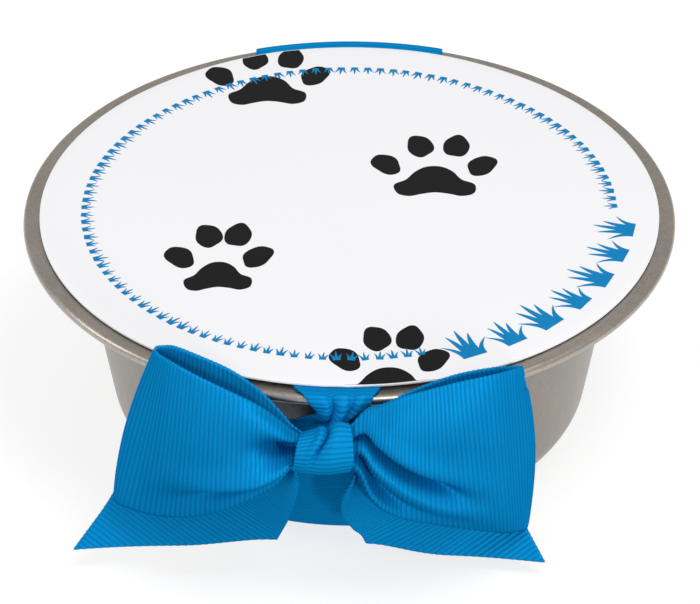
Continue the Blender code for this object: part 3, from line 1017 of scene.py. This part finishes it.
# The sections before and after those where the band is drawn in
BEFORE_NECK = (0.0,) * 3
AFTER_NECK = (0.0,) * 7
BAND_PLEATS = (
    # The sharp valley beside the narrow left fold
    Pleat(0.38, BEFORE_NECK + (-0.1, -0.7, -1.2, -1.4, -0.8) + AFTER_NECK, 0.06),
    # The full middle fold
    Pleat(0.55, BEFORE_NECK + (0.0, 0.4, 0.8, 1.0, 0.6) + AFTER_NECK, 0.12),
    # The valley and the rippled fold on the right
    Pleat(0.7, BEFORE_NECK + (-0.1, -0.5, -0.9, -1.0, -0.6) + AFTER_NECK, 0.05),
    Pleat(0.84, BEFORE_NECK + (0.0, 0.4, 0.7, 0.6, 0.3) + AFTER_NECK, 0.08),
)


def band_path(bowl):
    """The band's middle line in a plane through the bowl's axis, closed, as (depth, height)."""
    shape = bowl_shape(bowl)
    corner_radius, bead_radius = bowl.corner / MM, bowl.bead / MM
    off = BAND_GAP + RIBBON_LAYER / 2
    lean = tangent_angle(shape["corner"], corner_radius + off, shape["bead"], bead_radius + off)
    corner = arc(shape["corner"], corner_radius + off, -90, lean, 14)
    bead = arc(shape["bead"], bead_radius + off, lean, BAND_WRAP, 12)
    foot, head = corner[-1], bead[0]
    side = [tuple(a + (b - a) * i / WALL_STEPS for a, b in zip(foot, head)) for i in range(1, WALL_STEPS)]
    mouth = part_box("card_lid")[0].z / MM - RIBBON_LAYER / 2
    mouth_steps = [BAND_EMERGES_AT * (1 - i / MOUTH_STEPS) for i in range(MOUTH_STEPS)]
    half = [(BAND_FLAT_RADIUS * i / BASE_STEPS, RIBBON_LAYER / 2) for i in range(1, BASE_STEPS + 1)]
    half += corner + side + bead + [(radius, mouth) for radius in mouth_steps]
    front = [(-radius, height) for radius, height in half]
    back = [(radius, height) for radius, height in half]
    middle = (0.0, RIBBON_LAYER / 2)
    return np.array([middle] + front + [(0.0, mouth)] + back[::-1] + [middle])


def band_surface(bowl):
    path = band_path(bowl)
    steps = np.diff(path, axis=0)
    run = np.concatenate([[0.0], np.cumsum(np.linalg.norm(steps, axis=1))])
    tangent = np.gradient(path, run, axis=0)
    tangent /= np.linalg.norm(tangent, axis=1)[:, None]
    edge = run[np.argmin(np.abs(path[:, 0] + BAND_EMERGES_AT) + 9 * (path[:, 1] < BEAD_HEIGHT))]
    runs = [s.run for s in BAND_FRONT]

    def surface(along, across):
        along, across = np.broadcast_arrays(along, across)
        place = along * run[-1]
        depth, height = np.interp(place, run, path[:, 0]), np.interp(place, run, path[:, 1])
        ahead = edge - place
        at = np.interp(ahead, runs, range(len(runs)))
        width, centre, out = (profile(BAND_FRONT, key, at) for key in ("width", "centre", "out"))
        out = out * np.sin(pi * across) ** 0.5 + pleated(BAND_PLEATS, at, across)[0]
        x = centre + width * (across - 0.5)
        radius = np.abs(depth)
        bend = ease((radius - BAND_FLAT_RADIUS) / BAND_FLAT_RADIUS)
        curved = np.sqrt(np.maximum(radius ** 2 - x ** 2, 0.0))
        y = np.sign(depth) * (radius + (curved - radius) * bend)
        y = y - out * np.interp(place, run, tangent[:, 1])
        z = height + out * np.interp(place, run, tangent[:, 0])
        return np.stack([x, y, z], axis=-1)

    return surface


class GRASSKIT_OT_band(bpy.types.Operator):
    """Lay the ribbon band under the base, over the rim and under the card"""
    bl_idname = "grasskit.band"
    bl_label = "Ribbon band"

    def execute(self, context):
        look = context.scene.grasskit_ribbon
        surface = band_surface(context.scene.grasskit_bowl)
        cloth = ribbon("ribbon_band_wrap", look, surface, BAND_COLUMNS, closed=True,
                       rows_per_rib=BAND_ROWS_PER_RIB)
        declared(cloth, look, "ribbon_band")
        return {"FINISHED"}


# The knot

# The wrap round the crossing, section by section from the back, over the top, down the front and under: its
# left and right edge. Its pleats stand out from the knot's middle line
KnotSection = namedtuple("KnotSection", "left right full")
KNOT_MIDDLE = (-75.2, 42.2)
# The ribbon is folded lengthwise into this many layers to pass through the knot
KNOT_LAYERS = 4
KNOT_WRAP = sections_of(
    KnotSection,
    ((-9.4, -71.6, 41.6), (-1.0, -71.6, 41.6), 0.3),
    ((-9.4, -72.4, 44.2), (-1.2, -72.6, 46.0), 0.3),
    ((-9.9, -75.0, 45.8), (0.0, -74.6, 48.0), 0.2),
    ((-10.4, -77.4, 45.7), (0.5, -76.8, 47.4), 0.3),
    ((-10.8, -79.0, 44.4), (0.8, -78.9, 45.4), 0.5),
    ((-11.1, -79.6, 42.4), (0.8, -79.7, 42.8), 0.7),
    ((-11.5, -79.0, 40.4), (0.3, -79.2, 40.4), 0.8),
    ((-11.5, -77.4, 39.0), (-0.1, -77.6, 38.8), 0.6),
    ((-10.8, -75.0, 38.2), (-0.8, -75.0, 38.2), 0.4),
    ((-9.8, -72.6, 39.0), (-1.0, -72.6, 39.0), 0.3),
)
KNOT_PLEATS = (
    # The crease between the folded flap on the left and the column on the right
    Pleat((0.6, 0.6, 0.58, 0.54, 0.4, 0.28, 0.24, 0.24, 0.5, 0.6),
          (0.0, -0.3, -1.3, -1.6, -1.1, -0.35, 0.0, 0.0, 0.0, 0.0), 0.06),
    # The flap's fold
    Pleat((0.4, 0.4, 0.42, 0.42, 0.3, 0.2, 0.16, 0.16, 0.3, 0.4),
          (0.0, 0.1, 0.4, 0.7, 0.6, 0.2, 0.0, 0.0, 0.0, 0.0), 0.08),
    # The column
    Pleat((0.8, 0.8, 0.78, 0.74, 0.66, 0.6, 0.55, 0.5, 0.6, 0.8),
          (0.0, 0.3, 0.8, 0.8, 0.5, 0.3, 0.1, 0.0, 0.0, 0.0), 0.16),
)


def around(values, share):
    """Places on a smooth closed curve through the values; share runs from 0 to 1 once round."""
    values = np.asarray(values, float)
    ring = np.concatenate([values[-1:], values, values[:2]])
    return spline(ring, 1 + np.asarray(share) * len(values))


def knot_surface(along, across):
    along, across = np.broadcast_arrays(along, across)
    left, right, full = (profile(KNOT_WRAP, key, along, around) for key in KnotSection._fields)
    made = left + (right - left) * across[..., None]
    out = full * np.sin(pi * across) + pleated(KNOT_PLEATS, along, across, KNOT_PLEAT_EDGE, around)[0]
    outward = made[..., 1:] - KNOT_MIDDLE
    outward = outward / np.linalg.norm(outward, axis=-1)[..., None]
    made[..., 1:] += outward * out[..., None]
    return made


class GRASSKIT_OT_knot(bpy.types.Operator):
    """Wrap the ribbon once round the crossing"""
    bl_idname = "grasskit.knot"
    bl_label = "Knot"

    def execute(self, context):
        look = context.scene.grasskit_ribbon
        cloth = ribbon("ribbon_knot_wrap", look, knot_surface, KNOT_COLUMNS, closed=True)
        declared(cloth, look, "ribbon_knot", folded=KNOT_LAYERS)
        return {"FINISHED"}


# The loops

# A section across a loop's front layer: its lower and upper edge, how far the cloth stands forward between
# them, the shares across the ribbon where that fullness is reached and where it ends, and how far behind the
# back layer runs at each edge
Section = namedtuple("Section", "bottom top full rise_by fall_from gap_below gap_above")

LEFT_LOOP = sections_of(
    Section,
    ((-8.6, -74.4, 38.8), (-8.6, -74.6, 44.6), 1.2, 0.4, 0.8, 1.0, 1.0),
    ((-12.0, -73.2, 36.2), (-11.6, -73.6, 46.0), 2.8, 0.42, 0.85, 1.6, 1.6),
    ((-15.0, -71.8, 31.2), (-14.2, -73.6, 48.6), 4.4, 0.45, 0.76, 2.2, 3.0),
    ((-19.6, -70.8, 27.0), (-18.6, -73.8, 52.4), 5.8, 0.4, 0.6, 2.8, 5.4),
    ((-25.4, -69.6, 23.2), (-24.0, -73.4, 55.4), 6.0, 0.36, 0.48, 3.4, 7.2),
    ((-32.6, -67.6, 19.8), (-30.0, -71.6, 57.6), 5.2, 0.42, 0.5, 4.0, 7.0),
    ((-40.6, -64.6, 18.0), (-35.4, -68.6, 59.0), 3.6, 0.5, 0.5, 4.4, 5.6),
    ((-47.2, -62.0, 18.4), (-38.0, -66.0, 59.0), 1.6, 0.5, 0.5, 3.6, 3.2),
)
LEFT_PLEATS = (
    # The dark pocket beside the knot
    Pleat((0.62, 0.62, 0.64, 0.64, 0.6, 0.5, 0.5, 0.5), (-1.6, -6.0, -6.8, -2.2, -0.3, 0.0, 0.0, 0.0),
          (0.16, 0.16, 0.13, 0.12, 0.12, 0.14, 0.14, 0.14)),
    # The lip under it
    Pleat((0.4, 0.4, 0.43, 0.4, 0.39, 0.34, 0.3, 0.3), (0.5, 2.2, 3.4, 3.4, 2.8, 1.6, 0.4, 0.0),
          (0.1, 0.1, 0.1, 0.08, 0.07, 0.09, 0.12, 0.12), (0.0, 0.1, 0.0, -0.4, -0.8, -0.4, 0.0, 0.0)),
    # The hollow under the lip
    Pleat((0.2, 0.2, 0.25, 0.24, 0.24, 0.2, 0.16, 0.16), (0.0, -2.4, -5.0, -6.0, -5.4, -2.6, -0.4, 0.0),
          (0.1, 0.1, 0.1, 0.1, 0.1, 0.11, 0.12, 0.12)),
    # The brow over the pocket
    Pleat((0.86, 0.86, 0.88, 0.86, 0.8, 0.8, 0.8, 0.8), (0.2, 0.8, 1.0, 0.8, 0.3, 0.0, 0.0, 0.0), 0.1,
          (0.2, 0.6, 1.2, 1.2, 0.6, 0.2, 0.0, 0.0)),
)
RIGHT_LOOP = sections_of(
    Section,
    ((-1.2, -74.6, 39.0), (-0.8, -74.6, 46.0), 1.2, 0.4, 0.8, 1.0, 1.0),
    ((1.8, -73.4, 34.9), (3.2, -73.6, 50.8), 2.6, 0.3, 0.85, 1.6, 1.8),
    ((4.4, -71.2, 26.8), (6.4, -74.4, 52.8), 4.2, 0.3, 0.8, 1.8, 2.8),
    ((9.2, -69.6, 21.6), (10.6, -75.2, 55.3), 5.2, 0.3, 0.72, 2.2, 4.2),
    ((16.8, -68.2, 18.4), (15.6, -74.4, 56.4), 5.4, 0.3, 0.62, 2.6, 5.6),
    ((25.6, -66.4, 15.6), (22.0, -72.8, 57.3), 5.0, 0.4, 0.7, 3.0, 6.4),
    ((32.3, -64.4, 13.2), (29.0, -70.2, 57.2), 3.8, 0.45, 0.6, 3.2, 6.2),
    ((36.0, -61.6, 11.6), (33.0, -66.8, 56.0), 1.9, 0.5, 0.5, 3.4, 5.0),
)
RIGHT_PLEATS = (
    # The main ridge, from the knot down to the lower edge
    Pleat((0.5, 0.54, 0.5, 0.41, 0.3, 0.2, 0.14, 0.12), (0.4, 2.2, 3.0, 3.0, 2.4, 1.4, 0.4, 0.0),
          (0.08, 0.08, 0.09, 0.09, 0.08, 0.09, 0.12, 0.12), (0.1, 0.4, 0.8, 0.8, 0.4, 0.1, 0.0, 0.0)),
    # The dark valley above it
    Pleat((0.7, 0.7, 0.65, 0.54, 0.425, 0.32, 0.24, 0.2), (-1.4, -4.8, -6.4, -6.4, -4.4, -1.0, 0.0, 0.0),
          (0.07, 0.07, 0.07, 0.07, 0.07, 0.09, 0.12, 0.12)),
    # The rounded edge that hangs over the valley
    Pleat((0.84, 0.82, 0.77, 0.655, 0.53, 0.42, 0.34, 0.3), (0.2, 0.8, 1.6, 2.0, 1.8, 0.9, 0.2, 0.0),
          (0.07, 0.07, 0.08, 0.08, 0.08, 0.1, 0.12, 0.12), (0.0, -0.3, -1.0, -1.2, -0.9, -0.3, 0.0, 0.0)),
    # The narrow fold below the ridge, and its valley
    Pleat((0.2, 0.2, 0.18, 0.12, 0.07, 0.06, 0.06, 0.06), (0.2, 1.2, 1.8, 1.4, 0.6, 0.1, 0.0, 0.0), 0.05),
    Pleat((0.34, 0.33, 0.3, 0.24, 0.16, 0.1, 0.1, 0.1), (-0.4, -2.2, -3.0, -2.2, -0.8, -0.1, 0.0, 0.0),
          0.055),
)
# How far the back layer's upper edge rises toward the fold, and how far the fold's middle bows out
LEFT_RISE = 0.2
RIGHT_RISE = -2.6
LEFT_FOLD_BOW = 1.5
RIGHT_FOLD_BOW = 3.2
BACK_BULGE = 0.35
FULL_ROUNDNESS = 0.85
# How far the bow keeps off the rolled edge, how far above and below it that holds in full, and how fast the
# bow may reach back beyond that
RIM_CLEARANCE = 0.9
RIM_HALF_HEIGHT = 1.7
RIM_SLOPE = 1.2
# How many sections back from the fold its direction is taken
FOLD_AIM = 0.3


def fullness(across, rise_by, fall_from):
    """A swelling across the ribbon: up by one share, level, and down from another."""
    up = np.sin(np.clip(across / rise_by, 0.0, 1.0) * pi / 2) ** FULL_ROUNDNESS
    down = np.sin(np.clip((1 - across) / (1 - fall_from), 0.0, 1.0) * pi / 2) ** FULL_ROUNDNESS
    return up * down


def rim_limit(x, height):
    """How far back the bow may reach: up to the rolled edge, and further above and below it."""
    clear = RIM_RADIUS + RIM_CLEARANCE
    above = np.maximum(height - BEAD_HEIGHT - RIM_HALF_HEIGHT, 0.0)
    below = np.maximum(BEAD_HEIGHT - RIM_HALF_HEIGHT - height, 0.0)
    return RIM_SLOPE * (above + below) - np.sqrt(np.maximum(clear ** 2 - x ** 2, 0.0))


def loop_surface(sections, pleats, back_rise, fold_bow):
    """A folded loop: out from the knot in front, round the fold, and back behind."""
    last = len(sections) - 1

    def layers(at, across):
        at, across = np.broadcast_arrays(at, across)
        bottom, top, full, rise_by, fall_from, below, above = (
            profile(sections, key, at) for key in Section._fields)
        edge = bottom + (top - bottom) * across[..., None]
        forward, lift = pleated(pleats, at, across)
        front = edge.copy()
        front[..., 1] -= full * fullness(across, rise_by, fall_from) + forward
        front[..., 2] += lift
        back = edge.copy()
        back[..., 1] += below + (above - below) * across - BACK_BULGE * full * np.sin(pi * across)
        back[..., 2] += back_rise * across * ease(at)
        back[..., 1] = np.minimum(back[..., 1], rim_limit(back[..., 0], back[..., 2]))
        return front, back

    def surface(along, across):
        along, across = np.broadcast_arrays(np.asarray(along, float) * 3, across)
        out = along <= 1
        returning = along >= 2
        at = np.where(out, along, np.where(returning, 3 - along, 1.0)) * last
        front, back = layers(np.clip(at, 0, last), across)
        near_front, near_back = layers(np.full(at.shape, last - FOLD_AIM), across)
        edge_front, edge_back = layers(np.full(at.shape, float(last)), across)
        aim_front, aim_back = edge_front - near_front, edge_back - near_back
        reach = np.linalg.norm(edge_back - edge_front, axis=-1) / 2 + fold_bow * np.sin(pi * across)
        pull = 4 / 3 * reach[..., None]
        aim_front = edge_front + pull * aim_front / np.linalg.norm(aim_front, axis=-1)[..., None]
        aim_back = edge_back + pull * aim_back / np.linalg.norm(aim_back, axis=-1)[..., None]
        turn = np.clip(along - 1, 0.0, 1.0)[..., None]
        fold = ((1 - turn) ** 3 * edge_front + 3 * (1 - turn) ** 2 * turn * aim_front
                + 3 * (1 - turn) * turn ** 2 * aim_back + turn ** 3 * edge_back)
        return np.where(out[..., None], front, np.where(returning[..., None], back, fold))

    return surface


class GRASSKIT_OT_loops(bpy.types.Operator):
    """Fold the two loops of the bow"""
    bl_idname = "grasskit.loops"
    bl_label = "Bow loops"

    def execute(self, context):
        look = context.scene.grasskit_ribbon
        for name, node, sections, pleats, rise, bow in (
                ("bow_loop_left_cloth", "bow_loop_left", LEFT_LOOP, LEFT_PLEATS, LEFT_RISE, LEFT_FOLD_BOW),
                ("bow_loop_right_cloth", "bow_loop_right", RIGHT_LOOP, RIGHT_PLEATS, RIGHT_RISE,
                 RIGHT_FOLD_BOW)):
            surface = loop_surface(sections, pleats, rise, bow)
            cloth = ribbon(name, look, surface, LOOP_COLUMNS)
            declared(cloth, look, node)
        return {"FINISHED"}


# The tails

TailSection = namedtuple("TailSection", "outer inner bulge")

# A section across a tail: its outer and inner edge, and how far it bulges forward between them
LEFT_TAIL = sections_of(
    TailSection,
    ((-11.8, -70.4, 40.0), (-10.8, -70.6, 35.4), 0.2),
    ((-20.5, -66.6, 43.4), (-10.4, -69.6, 29.8), 0.4),
    ((-30.5, -62.4, 43.6), (-11.2, -68.6, 24.2), 0.6),
    ((-39.0, -57.8, 38.0), (-12.6, -67.4, 18.8), 0.6),
    ((-45.0, -55.4, 28.6), (-15.0, -66.0, 12.6), 0.4),
    ((-49.6, -56.2, 16.8), (-21.6, -65.4, -2.0), 0.4),
    ((-57.8, -61.0, 6.1), (-31.0, -67.0, -13.0), 0.4),
)
RIGHT_TAIL = sections_of(
    TailSection,
    ((3.2, -70.4, 38.0), (1.2, -70.6, 33.0), 0.2),
    ((12.4, -67.4, 40.6), (-1.4, -70.2, 26.4), 0.4),
    ((22.4, -62.4, 38.6), (-1.4, -69.0, 21.0), 0.2),
    ((29.4, -58.4, 32.0), (0.6, -68.0, 17.0), 0.0),
    ((32.8, -56.6, 23.2), (3.4, -67.0, 12.4), 0.0),
    ((35.2, -56.4, 13.4), (7.0, -67.0, -3.0), 0.0),
    ((41.0, -62.4, 3.8), (13.4, -70.0, -15.0), 0.0),
)
# The section at which the slanting cut meets each edge of a tail
CUT_AT_INNER = 4.0
CUT_AT_OUTER = 6.0
# Pleats beside the knot: their number, how far they stand out, and the sections over which they fade
TAIL_PLEATS = 3
TAIL_GATHER = 0.9
TAIL_GATHER_REACH = 3.0


def tail_surface(sections):
    last = len(sections) - 1

    def surface(along, across):
        along, across = np.broadcast_arrays(np.asarray(along, float) * last, across)
        outer, inner, bulge = (profile(sections, key, along) for key in TailSection._fields)
        made = outer + (inner - outer) * across[..., None]
        made[..., 1] -= bulge * np.sin(pi * across)
        gather = TAIL_GATHER * (1 - ease(along / TAIL_GATHER_REACH))
        made[..., 1] += gather * np.sin(2 * pi * TAIL_PLEATS * across)
        return made

    return surface


def tail_cut(across):
    """Where the slanting cut crosses the ribbon, as a share of its sections."""
    return (CUT_AT_OUTER + (CUT_AT_INNER - CUT_AT_OUTER) * across) / (len(LEFT_TAIL) - 1)


class GRASSKIT_OT_tails(bpy.types.Operator):
    """Let the two free ends fall from the knot, cut on a slant"""
    bl_idname = "grasskit.tails"
    bl_label = "Ribbon tails"

    def execute(self, context):
        look = context.scene.grasskit_ribbon
        for name, node, sections in (("ribbon_tail_left_cloth", "ribbon_tail_left", LEFT_TAIL),
                                     ("ribbon_tail_right_cloth", "ribbon_tail_right", RIGHT_TAIL)):
            cloth = ribbon(name, look, tail_surface(sections), TAIL_COLUMNS, cut=tail_cut)
            declared(cloth, look, node)
        return {"FINISHED"}


# The stage

class StageSettings(bpy.types.PropertyGroup):
    elevation: FloatProperty(name="Elevation", description="How far the camera looks down",
                             default=radians(34.2126), subtype="ANGLE")
    distance: length_setting("Distance", "From the camera to the middle of the kit", 1000.0)
    lens: FloatProperty(name="Lens", description="Focal length in millimetres", default=236.03, unit="CAMERA")
    sky: strength_setting("Sky", "Strength of the even light from above", 0.6)
    under: strength_setting("Under", "Strength of the even light from below", 0.25)
    window: power_setting("Window", "Power of the low light in front on the right, in watts", 3.0)
    key: power_setting("Key", "Power of the soft box, in watts", 6.0)
    strip: power_setting("Strip", "Power of the strip light on the left, in watts", 2.4)
    table: strength_setting("Table glow", "Light from under the white table", 0.76)


# The stage's places and sizes are in metres, but for the sensor's width
LOOKS_AT = (0.00014, 0.0, 0.0273)
SENSOR_WIDTH = 36.0
NEAREST_SEEN = 0.01
FLOOR_HALF = 4.0
HORIZON_SHARPNESS = 4.0
LIT_PLACE = (0.0, -0.02, 0.03)
# Each light: its name, its place and its size in metres, and the setting that holds its power
LIGHTS = (
    ("soft_box", (0.3, -0.45, 1.1), (0.45, 0.45), "key"),
    ("front_window", (0.42, -0.95, 0.2), (0.07, 0.16), "window"),
    ("side_strip", (-1.0, 0.02, 0.62), (0.2, 0.7), "strip"),
)


def area_light(name, place, size, power):
    light = bpy.data.lights.new(name, "AREA")
    light.shape = "RECTANGLE"
    light.size, light.size_y = size
    light.energy = power
    item = new_object(name, light)
    item.location = place
    item.rotation_euler = (Vector(LIT_PLACE) - Vector(place)).to_track_quat("-Z", "Y").to_euler()


class GRASSKIT_OT_stage(bpy.types.Operator):
    """Set the pale floor, the soft lights and the camera"""
    bl_idname = "grasskit.stage"
    bl_label = "Stage"

    def execute(self, context):
        look = context.scene.grasskit_stage
        floor_mesh = bpy.data.meshes.new("floor")
        corners = [(x * FLOOR_HALF, y * FLOOR_HALF, 0.0) for x, y in ((-1, -1), (1, -1), (1, 1), (-1, 1))]
        floor_mesh.from_pydata(corners, [], [(0, 1, 2, 3)])
        floor = new_object("floor", floor_mesh)
        paint, _, shader = new_finish("floor_paint", {"Base Color": (0.3, 0.3, 0.3, 1.0),
                                                      "Roughness": 0.9, "Specular IOR Level": 0.1,
                                                      "Emission Color": (1.0, 1.0, 1.0, 1.0),
                                                      "Emission Strength": look.table})
        floor_mesh.materials.append(paint)
        floor.visible_diffuse = False

        world = bpy.data.worlds.new("studio")
        world.use_nodes = True
        background = world.node_tree.nodes["Background"]
        background.inputs["Color"].default_value = (1.0, 1.0, 1.0, 1.0)
        graph = Graph(world.node_tree)
        height = graph.add("ShaderNodeSeparateXYZ", {}, {"Vector": graph.object_place()}, 2)
        above = (height * HORIZON_SHARPNESS + 0.5).kept()
        wire_up(graph, background, {"Strength": above * (look.sky - look.under) + look.under})
        context.scene.world = world

        for name, place, size, power in LIGHTS:
            area_light(name, place, size, getattr(look, power))

        lens = bpy.data.cameras.new("camera")
        lens.lens = look.lens
        lens.sensor_width = SENSOR_WIDTH
        lens.clip_start = NEAREST_SEEN
        camera = new_object("camera", lens)
        back = Vector((0.0, -cos(look.elevation), sin(look.elevation)))
        camera.location = Vector(LOOKS_AT) + back * look.distance
        camera.rotation_euler = (pi / 2 - look.elevation, 0.0, 0.0)
        context.scene.camera = camera
        context.scene.view_settings.view_transform = "Standard"
        return {"FINISHED"}


# Panel and registration

OPERATORS = (GRASSKIT_OT_bowl, GRASSKIT_OT_card, GRASSKIT_OT_contents, GRASSKIT_OT_band, GRASSKIT_OT_knot,
             GRASSKIT_OT_loops, GRASSKIT_OT_tails, GRASSKIT_OT_stage)
SETTINGS = {"grasskit_bowl": BowlSettings, "grasskit_card": CardSettings,
            "grasskit_contents": ContentsSettings, "grasskit_ribbon": RibbonSettings,
            "grasskit_stage": StageSettings}


class GRASSKIT_PT_panel(bpy.types.Panel):
    bl_idname = "GRASSKIT_PT_panel"
    bl_label = "Cat grass growing kit"
    bl_space_type = "VIEW_3D"
    bl_region_type = "UI"
    bl_category = "Grass kit"

    def draw(self, context):
        for name, group in SETTINGS.items():
            box = self.layout.box()
            for field in group.__annotations__:
                box.prop(getattr(context.scene, name), field)
        for operator in OPERATORS:
            self.layout.operator(operator.bl_idname)


def register():
    for item in (*SETTINGS.values(), *OPERATORS, GRASSKIT_PT_panel):
        bpy.utils.register_class(item)
    for name, group in SETTINGS.items():
        setattr(bpy.types.Scene, name, PointerProperty(type=group))


def unregister():
    for name in SETTINGS:
        delattr(bpy.types.Scene, name)
    for item in (GRASSKIT_PT_panel, *OPERATORS[::-1], *SETTINGS.values()):
        bpy.utils.unregister_class(item)


def main():
    register()
    bpy.ops.grasskit.bowl()
    bpy.ops.grasskit.card()
    bpy.ops.grasskit.contents()
    bpy.ops.grasskit.band()
    bpy.ops.grasskit.knot()
    bpy.ops.grasskit.loops()
    bpy.ops.grasskit.tails()
    bpy.ops.grasskit.stage()


if __name__ == "__main__":
    main()
